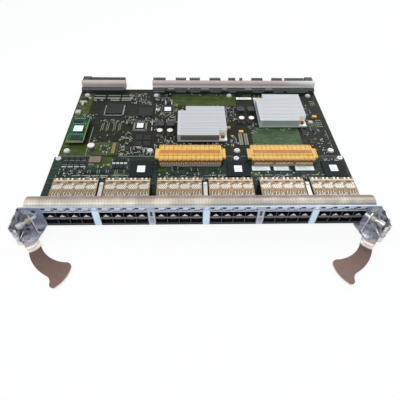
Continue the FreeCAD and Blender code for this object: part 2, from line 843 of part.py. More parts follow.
def pin_springs():
    """Coil springs round the push pins, pressed closed: turns that touch, as rings of one sleeve."""
    start_z = sink_z + sink_base_t
    pitch = (spring_top_z() - start_z) / spring_turns
    springs = []
    for middle in (sink_a, sink_b):
        for x, y in pin_places(middle):
            outline = [V(x + spring_r - spring_wire_r, y, start_z)]
            for turn in range(spring_turns):
                root = start_z + turn * pitch
                outline.append(V(x + spring_r, y, root))
                outline.append(V(x + spring_r + spring_wire_r, y, root + pitch / 2))
            outline.append(V(x + spring_r, y, spring_top_z()))
            outline.append(V(x + spring_r - spring_wire_r, y, spring_top_z()))
            face = Part.Face(Part.makePolygon(outline + outline[:1]))
            springs.append(face.revolve(V(x, y, 0), V(0, 0, 1), 360))
    return springs


# ---- bridge connectors over the seam ------------------------------------

def bridge_y():
    return (seam_y + seam_rear_y) / 2 - 3.0


def bridge_sockets(x):
    """The two socket strips under one bridge, one on each board."""
    z = top_z
    y0 = bridge_y() - bridge_l / 2 + 1.0
    y1 = bridge_y() + bridge_l / 2 - 1.0
    half = bridge_w / 2 - 1.0
    front = box(x - half, x + half, y0, y0 + bridge_socket_l, z, z + bridge_socket_h)
    rear = box(x - half, x + half, y1 - bridge_socket_l + 1.0, y1, z, z + bridge_socket_h)
    return [front, rear]


def bridge_cover(x):
    """Moulded bridge with an ear at each end, ribbed edges and a raised middle band."""
    z = top_z + bridge_socket_h
    y = bridge_y()
    half_l = bridge_l / 2
    ribs = int(bridge_w / bridge_rib_pitch)
    start = x - ribs * bridge_rib_pitch / 2
    body = block((x, y), bridge_w, bridge_l - 2 * bridge_rib_d, z, bridge_cover_h)
    pieces = [body]
    for i in range(ribs):
        middle = start + (i + 0.5) * bridge_rib_pitch
        pieces.append(block((middle, y), bridge_rib_pitch * 0.6, bridge_l, z, bridge_cover_h))
    pieces.append(block((x, y), bridge_w + 2 * bridge_ear_w, bridge_ear_l, z, bridge_cover_h - 1.0))
    pieces.append(block((x, y - 2.0), bridge_w - 2.0, bridge_band_l, z + bridge_cover_h, bridge_band_h))
    return fuse(pieces)


# ---- backplane connectors -----------------------------------------------

def module_profile(high):
    low_z = top_z + connector_low_h
    end_z = top_z - connector_drop
    overhang_y = board_rear_y + 0.3
    split_y = bar_front_y + bar_w
    return [(connector_front_y, top_z), (overhang_y, top_z), (overhang_y, end_z),
            (connector_rear_y, end_z), (connector_rear_y, top_z + high), (split_y, top_z + high),
            (split_y, low_z), (connector_front_y + 3.0, low_z), (connector_front_y, low_z - 2.0)]


def connector_module(x0, x1):
    """Press-fit block of wafers: low over the board, high at the mating end."""
    high = connector_high_h
    module = section(module_profile(high), x0, x1)
    count = int((x1 - x0 - 2.0) / wafer_pitch)
    grooves = []
    for i in range(count):
        x = (x0 + x1) / 2 + (i - (count - 1) / 2) * wafer_pitch
        grooves.append(box(x - wafer_gap / 2, x + wafer_gap / 2, bar_front_y + bar_w + 1.5,
                           connector_rear_y + 1, top_z + high - 2.0, top_z + high + 1))
    return module.cut(Part.makeCompound(grooves)) if grooves else module


def connector_fillers():
    """Low strips on the board between the blocks, under the bar."""
    low_z = top_z + connector_low_h
    strips = []
    ends = right_modules + [(right_guide_x()[0], right_guide_x()[1])]
    for (_, x0), (x1, _) in zip(ends[:-1], ends[1:]):
        if x1 - x0 > 2.0:
            strips.append(box(x0 + 0.2, x1 - 0.2, connector_front_y + 1.0, bar_front_y + bar_w - 1.0,
                              top_z, low_z))
    return strips


def right_guide_x():
    return right_bar_x[1] - guide_w, right_bar_x[1]


def left_guide_x():
    return left_bar_x[0] - 1.0, left_bar_x[0] - 1.0 + guide_w


def guide_z():
    return top_z + (connector_high_h - connector_drop) / 2


def guide_block(x_range):
    """Block with a bore that a pin of the backplane enters."""
    body = section(module_profile(connector_high_h + guide_rise), *x_range)
    x = sum(x_range) / 2
    bore = Part.makeCylinder(guide_bore_r, guide_bore_l + 1.0, V(x, connector_rear_y + 1.0, guide_z()),
                             V(0, -1, 0))
    return body.cut(bore)


def rear_bar(x_range):
    """Extruded bar over the connectors, half round on top."""
    z0 = top_z + connector_low_h
    r = bar_w / 2
    side_z = z0 + bar_h - r
    y0, y1 = bar_front_y, bar_front_y + bar_w
    x = x_range[0]
    edges = [Part.makeLine(V(x, y0, z0), V(x, y0, side_z)),
             Part.Arc(V(x, y0, side_z), V(x, y0 + r, z0 + bar_h), V(x, y1, side_z)).toShape(),
             Part.makeLine(V(x, y1, side_z), V(x, y1, z0)),
             Part.makeLine(V(x, y1, z0), V(x, y0, z0))]
    return Part.Face(Part.Wire(edges)).extrude(V(x_range[1] - x, 0, 0))


# ---- parts on the boards ------------------------------------------------

def leaded_chip(middle, width, height):
    body = block(middle, width, width, top_z, height)
    leads = block(middle, width + 2 * lead_l, width + 2 * lead_l, top_z, lead_t)
    corners = []
    for sx in (-1, 1):
        for sy in (-1, 1):
            reach = width / 2 + lead_l / 2
            corners.append(block((middle[0] + sx * reach, middle[1] + sy * reach),
                                 lead_l + 0.6, lead_l + 0.6, top_z, lead_t))
    return fuse([body, leads.cut(Part.makeCompound(corners))])


def can(middle, r, height):
    """Aluminium can capacitor on its square base."""
    base_h = 1.0
    base = block(middle, 2 * r, 2 * r, top_z, base_h)
    return fuse([base, post(*middle, top_z + base_h, r - 0.2, height - base_h)])


def coil(middle):
    body = block(middle, coil_w, coil_w, top_z, coil_h)
    upright = [e for e in body.Edges if abs(e.tangentAt(e.FirstParameter).z) > 0.9]
    return body.makeChamfer(1.5, upright)


def card_z():
    return top_z + card_lift


def card_sockets():
    """Stacking connectors that carry the plug-in card."""
    x, y = card_at
    reach = card_l / 2 - card_socket_l
    return [block((x, y + side * reach), card_w - 6.0, card_socket_l, top_z, card_lift)
            for side in (-1, 1)]


def card_chip():
    x, y = card_at
    return block((x, y), card_chip_w, card_chip_w, card_z() + card_t, card_chip_h)


# ---- build --------------------------------------------------------------

os.makedirs("parts", exist_ok=True)

save("carrier_tray", carrier_tray())
save("tray_rivets", flange_rivets())
save("standoffs", standoffs())
save("port_board", board(port_board_x, board_front_y, seam_y))
save("main_board", board(main_board_x, seam_rear_y, board_rear_y))
save("board_screws", board_screws())

save("face_panel", face_panel())
save("light_pipes", light_bars())
save("status_lenses", status_lenses())
save("top_gasket", top_gasket())
save("panel_posts", panel_posts())
save("post_screws", post_screws())
save("screw_receptacles", [screw_receptacle(), mirrored(screw_receptacle())])

for number, x in enumerate(group_x, start=1):
    save("port_cage_%d" % number, port_cage(x))
save("port_connectors", [piece for x in group_x for piece in port_connectors(x)])

for name, make in (("ejector_bracket", ejector_bracket), ("lever", lever),
                   ("screw_bracket", screw_bracket), ("lever_rivet", join_rivet),
                   ("screw_ferrule", ferrule), ("screw_washer", screw_washer),
                   ("captive_screw", captive_screw)):
    save(name + "_left", make())
    save(name + "_right", mirrored(make()))
save("pivot_rivets", [pivot_rivet(), mirrored(pivot_rivet())])

save("heatsink_a", heatsink(sink_a))
save("heatsink_b", heatsink(sink_b))
save("switch_chips", [block(middle, chip_w, chip_w, top_z, chip_h) for middle in (sink_a, sink_b)])
save("push_pins", push_pins())
save("pin_springs", pin_springs())

save("bridge_sockets", [piece for x in bridge_x for piece in bridge_sockets(x)])
for letter, x in zip("ab", bridge_x):
    save("bridge_cover_" + letter, bridge_cover(x))

save("backplane_connectors", [connector_module(*x) for x in left_modules + right_modules])
save("connector_fillers", connector_fillers())
save("guide_blocks", [guide_block(left_guide_x()), guide_block(right_guide_x())])
save("rear_bar_left", rear_bar(left_bar_x))
save("rear_bar_right", rear_bar(right_bar_x))

save("leaded_chips", [leaded_chip(control_chip_at, control_chip_w, control_chip_h),
                      leaded_chip(small_chip_at, small_chip_w, small_chip_h)])
save("memory_chips", [block(at, memory_w, memory_l, top_z, memory_h) for at in memory_at]
     + [block(at, logic_w, logic_w, top_z, logic_h) for at in logic_at])
save("port_chips", [block(at, port_chip_w, port_chip_w, top_z, port_chip_h) for at in port_chip_at])
save("shield_can", block(shield_at, shield_w, shield_l, top_z, shield_h))
save("capacitors", [can(at, bulk_cap_r, bulk_cap_h) for at in bulk_cap_at]
     + [can(at, filter_cap_r, filter_cap_h) for at in filter_cap_at])
save("inductors", [coil(at) for at in coil_at])
save("tantalum_capacitors", [block(at, tantalum_w, tantalum_l, top_z, tantalum_h) for at in tantalum_at])
save("pin_header", block(header_at, header_w, header_l, top_z, header_h))
save("plug_in_card", block(card_at, card_w, card_l, card_z(), card_t))
save("card_sockets", card_sockets())
save("card_chip", card_chip())
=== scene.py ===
import bmesh
import bpy
import math
import random
from mathutils import Matrix, Vector


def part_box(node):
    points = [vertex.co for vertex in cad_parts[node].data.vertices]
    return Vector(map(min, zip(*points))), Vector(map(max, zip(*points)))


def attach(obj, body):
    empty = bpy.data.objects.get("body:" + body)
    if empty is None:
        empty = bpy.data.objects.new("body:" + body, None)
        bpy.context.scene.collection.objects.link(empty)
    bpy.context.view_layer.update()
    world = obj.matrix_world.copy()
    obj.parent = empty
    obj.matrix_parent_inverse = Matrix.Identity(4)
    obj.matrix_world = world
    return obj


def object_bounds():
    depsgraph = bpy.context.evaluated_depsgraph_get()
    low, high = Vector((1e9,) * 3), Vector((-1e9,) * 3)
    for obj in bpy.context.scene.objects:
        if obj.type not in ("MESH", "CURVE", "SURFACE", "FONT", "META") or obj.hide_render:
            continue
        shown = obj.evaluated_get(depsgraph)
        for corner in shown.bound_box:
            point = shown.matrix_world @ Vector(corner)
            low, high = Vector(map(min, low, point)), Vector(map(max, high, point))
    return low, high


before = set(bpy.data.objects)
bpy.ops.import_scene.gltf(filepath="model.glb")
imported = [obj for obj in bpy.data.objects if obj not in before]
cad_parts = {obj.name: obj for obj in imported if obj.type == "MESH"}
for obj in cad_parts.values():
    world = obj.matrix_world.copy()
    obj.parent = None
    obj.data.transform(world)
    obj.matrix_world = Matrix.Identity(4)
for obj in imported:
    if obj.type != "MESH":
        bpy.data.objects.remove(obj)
cad_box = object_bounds()

# ---- Carrier tray -----------------------------------------------------------
# A folded pan of 1.2 mm zinc-plated steel sheet under both boards, which stand on
# it on spacers. Its lips run along the sides and show below the panel.

mm = 0.001


def every(size):
    """The scale of a pattern that repeats every so many mm."""
    return 1000 / size


def linear(code):
    """The shader's linear colour for an sRGB hex value."""
    parts = [int(code[i:i + 2], 16) / 255 for i in (1, 3, 5)]
    return tuple(c / 12.92 if c <= 0.04045 else ((c + 0.055) / 1.055) ** 2.4 for c in parts) + (1.0,)


def material(name, colour, roughness, metallic=0.0, **sockets):
    """A material whose constants sit on the shader's own sockets."""
    made = bpy.data.materials.new(name)
    made.use_nodes = True
    shader = made.node_tree.nodes["Principled BSDF"]
    values = {"Base Color": linear(colour), "Roughness": roughness, "Metallic": metallic}
    values.update({key.replace("_", " "): value for key, value in sockets.items()})
    for key, value in values.items():
        shader.inputs[key].default_value = value
    return made


def add(made, kind, settings, feeds=()):
    """Adds one node. A setting is a property, a socket's value, or a (node, output) to link in;
    a feed is (output, socket of the shader or (node, socket))."""
    tree = made.node_tree
    node = tree.nodes.new("ShaderNode" + kind)
    for key, value in settings.items():
        if key == "stops":
            ramp = node.color_ramp.elements
            while len(ramp) < len(value):
                ramp.new(0.5)
            for stop, (place, colour) in zip(ramp, value):
                stop.position, stop.color = place, linear(colour)
        elif isinstance(key, int) or key in node.inputs:
            if isinstance(value, tuple) and isinstance(value[0], bpy.types.Node):
                tree.links.new(value[0].outputs[value[1]], node.inputs[key])
            else:
                node.inputs[key].default_value = value
        else:
            setattr(node, key, value)
    for output, target in feeds:
        owner, socket = target if isinstance(target, tuple) else (tree.nodes["Principled BSDF"], target)
        tree.links.new(node.outputs[output], owner.inputs[socket])
    return node


def dress(made, *nodes):
    """Gives CAD nodes their material."""
    for name in nodes:
        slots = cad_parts[name].data.materials
        slots.clear()
        slots.append(made)


def sheet_grain(made, tone, patch, line, strength, stretch=(1.0, 1.0, 1.0)):
    """Cloudy tone over patches of that size in mm, and lines of that pitch as a bump."""
    place = add(made, "TexCoord", {})
    cloud = add(made, "TexNoise", {"Vector": (place, "Object"), "Scale": every(patch), "Detail": 3.0})
    base = made.node_tree.nodes["Principled BSDF"].inputs["Base Color"].default_value[:]
    mix = add(made, "Mix", {"data_type": "RGBA", 0: (cloud, "Fac"), 6: base, 7: linear(tone)},
              [(2, "Base Color")])
    turned = add(made, "Mapping", {"Vector": (place, "Object"), "Scale": stretch})
    rolled = add(made, "TexNoise", {"Vector": (turned, "Vector"), "Scale": every(line), "Detail": 2.0})
    add(made, "Bump", {"Height": (rolled, "Fac"), "Strength": strength, "Distance": 0.02 * mm},
        [("Normal", "Normal")])
    return place, mix


def across(made, axis, low, high, stops, feeds=()):
    """Colours laid across a piece along one axis, between two places in mm in the object's frame."""
    place = add(made, "TexCoord", {})
    part = add(made, "SeparateXYZ", {0: (place, "Object")})
    span = add(made, "MapRange", {"Value": (part, axis), "From Min": low * mm, "From Max": high * mm})
    return add(made, "ValToRGB", {"Fac": (span, "Result"), "stops": stops}, feeds)


# Passivated zinc: a cool grey with faint clouds and the fine lines of rolled sheet.
zinc_plate = material("zinc_plated_steel", "#aeb7c6", 0.34, 1.0)
sheet_grain(zinc_plate, "#c6ccd4", 14.0, 0.5, 0.4, (0.1, 1.0, 1.0))
dress(zinc_plate, "carrier_tray")

# ---- Standoffs and tray rivets ----------------------------------------------
# Turned steel spacers under the boards and flat rivets through the tray's front
# edge, both nickel-plated: brighter and warmer than the tray they sit on.

# Nickel plate: small bright glints, warmer than the zinc round them.
nickel_plate = material("nickel_plated_steel", "#cfcdc8", 0.22, 1.0)
sheet_grain(nickel_plate, "#a9a8a8", 3.0, 0.3, 0.3)
dress(nickel_plate, "standoffs", "tray_rivets")

# ---- Printed circuit boards -------------------------------------------------
# Two glass-epoxy boards, 3 mm thick, under solder mask; large copper areas are
# laid on them as thin sheets. Tracks and vias are drawn coarser than real, so that
# they show. Places are in mm: X from the middle, Y from the panel's face, Z from
# the top of the boards.

face_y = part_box("face_panel")[0].y
top_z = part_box("port_board")[1].z


def mask_material(name, deep, pale, track, spot, rough):
    """Solder mask with cloudy depth, tracks of 1.5 mm pitch and vias about 3 mm apart."""
    made = material(name, deep, rough, Specular_IOR_Level=0.12)
    place = add(made, "TexCoord", {})
    cloud = add(made, "TexNoise", {"Vector": (place, "Object"), "Scale": every(16.0), "Detail": 4.0})
    spread = add(made, "ValToRGB", {"Fac": (cloud, "Fac"), "stops": [(0.35, deep), (0.7, pale)]})
    runs = add(made, "Mapping", {"Vector": (place, "Object"), "Scale": (every(9.0), every(1.5), 1.0)})
    lane = add(made, "TexVoronoi", {"Vector": (runs, "Vector"), "distance": "CHEBYCHEV", "Scale": 1.0,
                                   "Randomness": 0.7})
    lane_mask = add(made, "ValToRGB", {"Fac": (lane, "Color"),
                                       "stops": [(0.62, "#000000"), (0.7, "#ffffff")]})
    tracks = add(made, "Mix", {"data_type": "RGBA", 0: (lane_mask, "Color"), 6: (spread, "Color"),
                               7: linear(track)})
    dots = add(made, "TexVoronoi", {"Vector": (place, "Object"), "Scale": every(3.0)})
    dot_mask = add(made, "Math", {"operation": "LESS_THAN", 0: (dots, "Distance"), 1: 0.13})
    add(made, "Mix", {"data_type": "RGBA", 0: (dot_mask, "Value"), 6: (tracks, 2), 7: linear(spot)},
        [(2, "Base Color")])
    weave = add(made, "TexNoise", {"Vector": (place, "Object"), "Scale": every(0.8), "Detail": 2.0})
    add(made, "Bump", {"Height": (weave, "Fac"), "Strength": 0.25, "Distance": 0.03 * mm},
        [("Normal", "Normal")])
    return made


# Green mask over bare laminate: nearly black, with faint tracks and specks.
solder_mask = mask_material("solder_mask_over_laminate", "#13160f", "#1d2117", "#272c1f", "#5c6149", 0.5)
# The same mask over solid copper, which turns it olive green.
copper_mask = mask_material("solder_mask_over_copper", "#2e3b17", "#3f4b20", "#48552c", "#6c7848", 0.42)
dress(solder_mask, "main_board")
# The front board's mask: dark too, but cooler and a little paler.
port_mask = mask_material("solder_mask_on_port_board", "#18221b", "#25332a", "#304036", "#617060", 0.5)
dress(port_mask, "port_board")


def slab(bm, x0, x1, y0, y1, z0, z1):
    """A block in a bmesh, between two places in mm along each axis."""
    size = Vector((x1 - x0, y1 - y0, z1 - z0)) * mm
    middle = Vector((x0 + x1, y0 + y1, z0 + z1)) * mm / 2 + Vector((0, face_y, top_z))
    bmesh.ops.create_cube(bm, size=1.0, matrix=Matrix.Translation(middle) @ Matrix.Diagonal((*size, 1.0)))


def disc(bm, x, y, z0, z1, r, sides):
    """An upright round in a bmesh, placed as slab() places a block."""
    place = Matrix.Translation(Vector((x, y, (z0 + z1) / 2)) * mm + Vector((0, face_y, top_z)))
    bmesh.ops.create_cone(bm, cap_ends=True, segments=sides, radius1=r * mm, radius2=r * mm,
                          depth=(z1 - z0) * mm, matrix=place)


def piece(name, bm, made, body="card"):
    """Makes a finished piece from a bmesh, with its material and the body that carries it."""
    bmesh.ops.recalc_face_normals(bm, faces=bm.faces)
    mesh = bpy.data.meshes.new(name)
    bm.to_mesh(mesh)
    bm.free()
    finished = bpy.data.objects.new(name, mesh)
    bpy.context.scene.collection.objects.link(finished)
    mesh.materials.append(made)
    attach(finished, body)


def plates(name, made, rows, z0, z1):
    """One piece of flat blocks at one height, each (x0, x1, y0, y1)."""
    bm = bmesh.new()
    for x0, x1, y0, y1 in rows:
        slab(bm, x0, x1, y0, y1, z0, z1)
    piece(name, bm, made)


copper_raise = 0.04
plates("copper_pours", copper_mask,
       [(-206, -183, 215, 306), (-183, -176, 188, 222), (-206, -166, 127, 152), (-166, -122, 127, 157),
        (-159, -127, 101, 123), (-206, -203, 152, 215), (-46, 66, 256, 292),
        (80, 96, 284, 292), (73, 84, 84, 92), (-60, -47, 92, 100)], 0.0, copper_raise)
# Mask over the ground areas on the right, a bluer green.
teal_mask = mask_material("solder_mask_over_ground", "#35482c", "#475b3f", "#4f6449", "#7c8f6e", 0.42)
plates("ground_pours", teal_mask,
       [(83, 160, 150, 196), (-122, -105, 84, 90), (160, 196, 196, 206)], 0.0, copper_raise)

# ---- Board legend -----------------------------------------------------------
# Ink printed on the mask: outlines round the larger chips, long rules beside the
# resistor rows and short marks by the small parts. Words and names are left out.

# White ink so thin that its strokes read as grey green.
legend_ink = material("legend_ink", "#b9bfb0", 0.6)
sheet_grain(legend_ink, "#8e9588", 2.0, 0.4, 0.2)


def outline(x, y, w, l, pen=0.5):
    """Four strokes, as wide as the pen, round a place."""
    return [(x - w / 2, x + w / 2, y + s * l / 2 - pen / 2, y + s * l / 2 + pen / 2) for s in (-1, 1)] + [
        (x + s * w / 2 - pen / 2, x + s * w / 2 + pen / 2, y - l / 2, y + l / 2) for s in (-1, 1)]


seam_strokes = [(-120, -60, 124.6, 125.3), (-206, -160, 125.2, 125.8)]
strokes = outline(-94, 197, 21, 22) + outline(-51.5, 246, 20, 23, 0.35)
strokes += [(-168.6, -168.0, 128, 196)] + seam_strokes
mark_row = 84.4
strokes += [(x, x + 11, mark_row, mark_row + 0.9) for x in (-178, -165, -152, -139.5)]
for middle in (-94.3, 38.1, 104.3, 170.5):
    strokes += [(middle + dx, middle + dx + 10.5, mark_row, mark_row + 0.8) for dx in (-27, -13, 1, 15)]
strokes += [(x0, x1, 124.4, 124.9) for x0, x1 in ((168, 209), (34, 50), (61, 73))]
strokes += [(x, x + 0.5, y0, y1) for x, y0, y1 in ((203.2, 165, 187), (203.4, 144, 160), (204.5, 80, 113),
                                                  (-72, 232, 262), (176, 196, 214), (47.5, 206, 252))]
ink_raise = 0.06
plates("legend", legend_ink, strokes, 0.0, ink_raise)

# ---- Resistor rows ----------------------------------------------------------
# Packs of resistors and their bright solder ends, soldered in ranks behind the
# left backplane connector and beside the bridge connectors.

# Reflowed solder: short bright flecks with no colour.
tinned = material("solder_tin", "#d4d6d2", 0.4, 0.2)
sheet_grain(tinned, "#a3a6a2", 2.0, 0.4, 0.4)
rank = [(-182, -162, 276.6, 278.4), (-158, -136, 276.6, 278.4), (-133, -114, 276.6, 278.4),
        (-181, -176, 270.6, 271.8), (-170, -165, 270.6, 271.8), (-152, -137, 270.6, 271.8),
        (-133, -117, 270.6, 271.8), (50, 54, 171, 173), (-196.5, -190, 101.2, 102.8),
        (-188, -181, 101.2, 102.8), (-179, -172, 101.2, 102.8), (-170, -163, 101.2, 102.8),
        (-76, -74.6, 200, 209), (-76, -74.6, 185, 194), (-57, -55.4, 258, 270), (-46, -44.6, 258, 270)]
rank += [(x, x + 4.2, 107.5, 111) for x in (-126, -120.4, -114.8, -109.2)]
pack_height, end_height = 0.9, 0.8
plates("resistor_ends", tinned, rank, 0.0, pack_height)
# Ranks of ends too small to tell apart, which blur to a pale khaki.
pale_end = material("pale_solder", "#98977f", 0.5)
sheet_grain(pale_end, "#5f6353", 1.2, 0.4, 0.4)
pale_rows = [(-182, -162, 284.8, 287), (-158, -136, 284.8, 287), (-133, -124, 284.8, 286.6),
             (-122, -112, 284.4, 287.4)]
pale_rows += [(x0, x1, 150, 178) for x0, x1 in ((62, 64.4), (65.2, 67.6), (70.2, 72.4), (73.4, 75.8))]
pale_rows += [(x + dx, x + dx + 0.9, 184 + dx, 204 + dx)
              for x in (-155.6, -147.4, -136.4, -128.4) for dx in (0, 2.6)]
grid_step = 3.2
pale_rows += [(193.6 + grid_step * i, 195.6 + grid_step * i, 195 + 5.4 * j, 197.6 + 5.4 * j)
              for i in range(3) for j in range(4)]
pale_rows += [(196 + grid_step * i, 198 + grid_step * i, 256.6 + 5 * j, 259 + 5 * j)
              for i in range(3) for j in range(3)]
plates("pale_ranks", pale_end, pale_rows, 0.0, end_height)

# ---- Small black packages ---------------------------------------------------
# Moulded epoxy packages soldered on the boards: drivers, regulators and clock chips
# with tin-plated legs along two sides, and square chips with legs on all four. The
# port chips are bare substrates and the inductors pressed ferrite.

# Moulded epoxy: matt charcoal with no gloss, so that it sinks into the board.
chip_epoxy = material("chip_epoxy", "#121316", 0.55, Specular_IOR_Level=0.3)
sheet_grain(chip_epoxy, "#1f2024", 3.0, 0.4, 0.3)
dress(chip_epoxy, "switch_chips", "leaded_chips", "memory_chips", "card_chip")
# Bare chip substrate: the same dark tone with a touch of green.
substrate = material("chip_substrate", "#14191b", 0.55, Specular_IOR_Level=0.12)
sheet_grain(substrate, "#1c2123", 4.0, 0.4, 0.2)
dress(substrate, "port_chips")
# Pressed ferrite: grey black with a coarse grain.
ferrite = material("ferrite", "#202225", 0.6)
sheet_grain(ferrite, "#34363a", 1.5, 0.4, 0.5)
dress(ferrite, "inductors")
# each (x, y, width, length, height, legs on the short sides)
packages = [(-51.5, 246, 16, 19, 1.6, 0), (-50.5, 264, 8, 8, 1.4, 1), (-197, 271, 11, 7, 3.0, 0),
            (-112, 206, 6, 8, 1.4, 1), (-117, 222, 5, 6, 1.4, 1), (52, 222, 8, 6, 1.4, 0),
            (53, 241, 6, 5, 1.4, 0), (186, 240, 8, 10, 1.8, 1), (168, 182, 7, 9, 1.6, 0),
            (186, 190, 9, 12, 1.6, 1), (176, 160, 8, 6, 1.4, 0), (12, 164.5, 6, 5, 1.4, 0),
            (-104, 275, 8, 10, 1.6, 1), (-62, 283, 9, 7, 1.5, 0), (120, 280, 10, 6, 1.5, 0),
            (150, 279, 8, 6, 1.5, 0), (-58, 161, 9, 8, 1.6, 1), (-46, 144, 7, 6, 1.4, 0),
            (-108, 141, 8, 10, 1.5, 1), (-143, 141, 6, 8, 1.4, 0), (54, 160, 5, 7, 1.4, 1),
            (86, 190, 7, 8, 1.4, 0), (-8, 96, 8, 7, 1.5, 1), (8, 88, 7, 7, 1.5, 0),
            (-24, 88, 7, 7, 1.5, 0), (118, 88, 7, 7, 1.5, 0), (132, 98, 8, 7, 1.5, 1),
            (146, 88, 7, 7, 1.5, 0), (-36, 99, 7, 7, 1.5, 1)]
packages += [(x, 92.5, 8, 6.5, 1.4, 1) for x in (-175, -162.5, -149.5, -137, -124.5, -112)]
packages += [(x, y, 4.4, 6, 1.2, 1) for y in (116, 101) for x in (-123.8, -118.2, -112.6, -107)]
packages += [(x, y, 6.4, l, 1.6, 0) for y, l in ((119.5, 6), (109.5, 5)) for x in (-193, -185, -177, -168)]
leg_pitch, leg_out, leg_half, leg_top = 1.6, 0.6, 0.35, 0.5
bodies, legs = bmesh.new(), bmesh.new()
for x, y, w, l, h, turned in packages:
    slab(bodies, x - w / 2, x + w / 2, y - l / 2, y + l / 2, 0.1, h)
    run, reach = (l, w) if turned else (w, l)
    count = max(3, int(run / leg_pitch))
    for side in (-1, 1):
        for i in range(count):
            along, out = (i - (count - 1) / 2) * run / count, side * (reach / 2 + leg_out)
            px, py = (x + out, y + along) if turned else (x + along, y + out)
            wx, wy = (leg_out, leg_half) if turned else (leg_half, leg_out)
            slab(legs, px - wx, px + wx, py - wy, py + wy, 0.0, leg_top)
# the gull-wing legs of the control chip and of the smaller square chip
wing, wing_low, wing_high = 2.4, 0.5, 0.62
for x, y, w, count in ((-141, 242, 28, 28), (-94, 197, 16, 12)):
    for i in range(count):
        along = (i - (count - 1) / 2) * w / count
        for side in (-1, 1):
            near, far = sorted((side * w / 2, side * (w / 2 + wing)))
            slab(legs, x + near, x + far, y + along - 0.3, y + along + 0.3, wing_low, wing_high)
            slab(legs, x + along - 0.3, x + along + 0.3, y + near, y + far, wing_low, wing_high)
piece("small_packages", bodies, chip_epoxy)
piece("package_legs", legs, tinned)

# ---- Chip capacitors and resistors ------------------------------------------
# Hundreds of ceramic capacitors and thick-film resistors, 2 mm long, with tinned
# ends that show as bright specks. They stand in groups between the larger parts.

# Fired ceramic: tan specks among the darker parts.
ceramic = material("capacitor_ceramic", "#8f7a5a", 0.5)
sheet_grain(ceramic, "#a58e6c", 2.0, 0.4, 0.2)
# Resistor film under glaze: black specks between two bright ends.
film = material("resistor_film", "#191a1c", 0.45)
sheet_grain(film, "#26272a", 2.0, 0.4, 0.2)
# each (x0, x1, y0, y1, how many parts are strewn there)
fields = [(-118, -70, 207, 224, 44), (-120, -64, 127, 150, 96), (-68, -37, 206, 234, 40),
          (-71, -63, 236, 258, 14), (-41, -36, 236, 262, 10), (-68, -38, 148, 171, 40),
          (-150, -134, 130, 152, 20), (-93, -79, 256, 268, 12), (-160, -116, 206, 214, 24),
          (-122, -84, 262, 292, 52), (-202, -170, 214, 230, 24), (-74, -46, 270, 292, 34),
          (46, 62, 206, 252, 40), (48, 60, 148, 172, 20), (80, 94, 180, 204, 18), (98, 172, 272, 288, 44),
          (172, 200, 130, 188, 26), (172, 190, 190, 222, 12), (-36, 44, 142, 154, 50),
          (94, 172, 184, 191, 8), (-18, 62, 284, 291, 6), (-122, -104, 152, 182, 26),
          (176, 192, 228, 262, 12), (-34, 40, 234, 256, 16), (-64, 34, 80, 92, 24), (72, 174, 80, 92, 22),
          (-60, 30, 94, 120, 14), (72, 172, 106, 118, 8), (-160, -128, 102, 108, 12),
          (-200, -162, 84, 100, 26), (176, 210, 112, 122, 10), (-70, -66, 186, 204, 6),
          (-160, -100, 76, 84, 40), (-40, 60, 72, 80, 40), (70, 200, 72, 80, 40),
          (-168, -124, 158, 180, 8)]
part_grid, end_length, end_inset, end_proud = 2.6, 0.3, 0.25, 0.03
seeded = random.Random(48)
taken = set()
ceramics, films, ends = bmesh.new(), bmesh.new(), bmesh.new()
for x0, x1, y0, y1, count in fields:
    for _ in range(count):
        cell = (round(seeded.uniform(x0, x1) / part_grid), round(seeded.uniform(y0, y1) / part_grid))
        if cell in taken:
            continue
        taken.add(cell)
        x, y = cell[0] * part_grid, cell[1] * part_grid
        turned, tall = seeded.random() < 0.5, seeded.uniform(0.5, 1.1)
        half, thin = seeded.choice(((1.0, 0.6), (1.0, 0.6), (0.8, 0.4), (1.3, 0.9)))
        wx, wy = (thin, half) if turned else (half, thin)
        slab(ceramics if seeded.random() < 0.45 else films, x - wx, x + wx, y - wy, y + wy, 0.0, tall)
        for side in (-1, 1):
            ex, ey = (0, side * (half - end_inset)) if turned else (side * (half - end_inset), 0)
            gx, gy = (thin + end_proud, end_length) if turned else (end_length, thin + end_proud)
            slab(ends, x + ex - gx, x + ex + gx, y + ey - gy, y + ey + gy, 0.0, tall + end_proud)
piece("chip_capacitors", ceramics, ceramic)
piece("chip_resistors", films, film)
piece("part_ends", ends, tinned)

# ---- Board screws -----------------------------------------------------------
# Zinc-plated pan heads with a cross recess, driven into the standoffs. Each bears
# on a tinned ring of the board, which earths it.

# Bright zinc with a soft sheen, so that each head reads as a pale dot.
screw_steel = material("bright_screw_steel", "#e2e4e4", 0.4, 0.3)
sheet_grain(screw_steel, "#c2c5c7", 2.5, 0.3, 0.3)
dress(screw_steel, "board_screws", "post_screws", "screw_receptacles")
land_radius, land_height = 5.0, 0.08
rings = bmesh.new()
for y, row in ((287.0, (-195.0, -73.5, 56.0, 198.0)), (136.7, (-197.0, -74.0, 56.4, 198.6))):
    for x in row:
        disc(rings, x, y, 0.0, land_height, land_radius, 24)
# Flat tinned copper: a duller grey ring round each head.
land_tin = material("screw_land_tin", "#aaaeb0", 0.5, 0.2)
sheet_grain(land_tin, "#8c9092", 2.5, 0.4, 0.4)
piece("screw_lands", rings, land_tin)

# ---- Face panel -------------------------------------------------------------
# Folded zinc-plated sheet, 1.5 mm, with a flange above and a lip below the ports.
# A dark mark and a pale oval are printed over each column of ports, and films are
# stuck on the wide pillars between the cages.

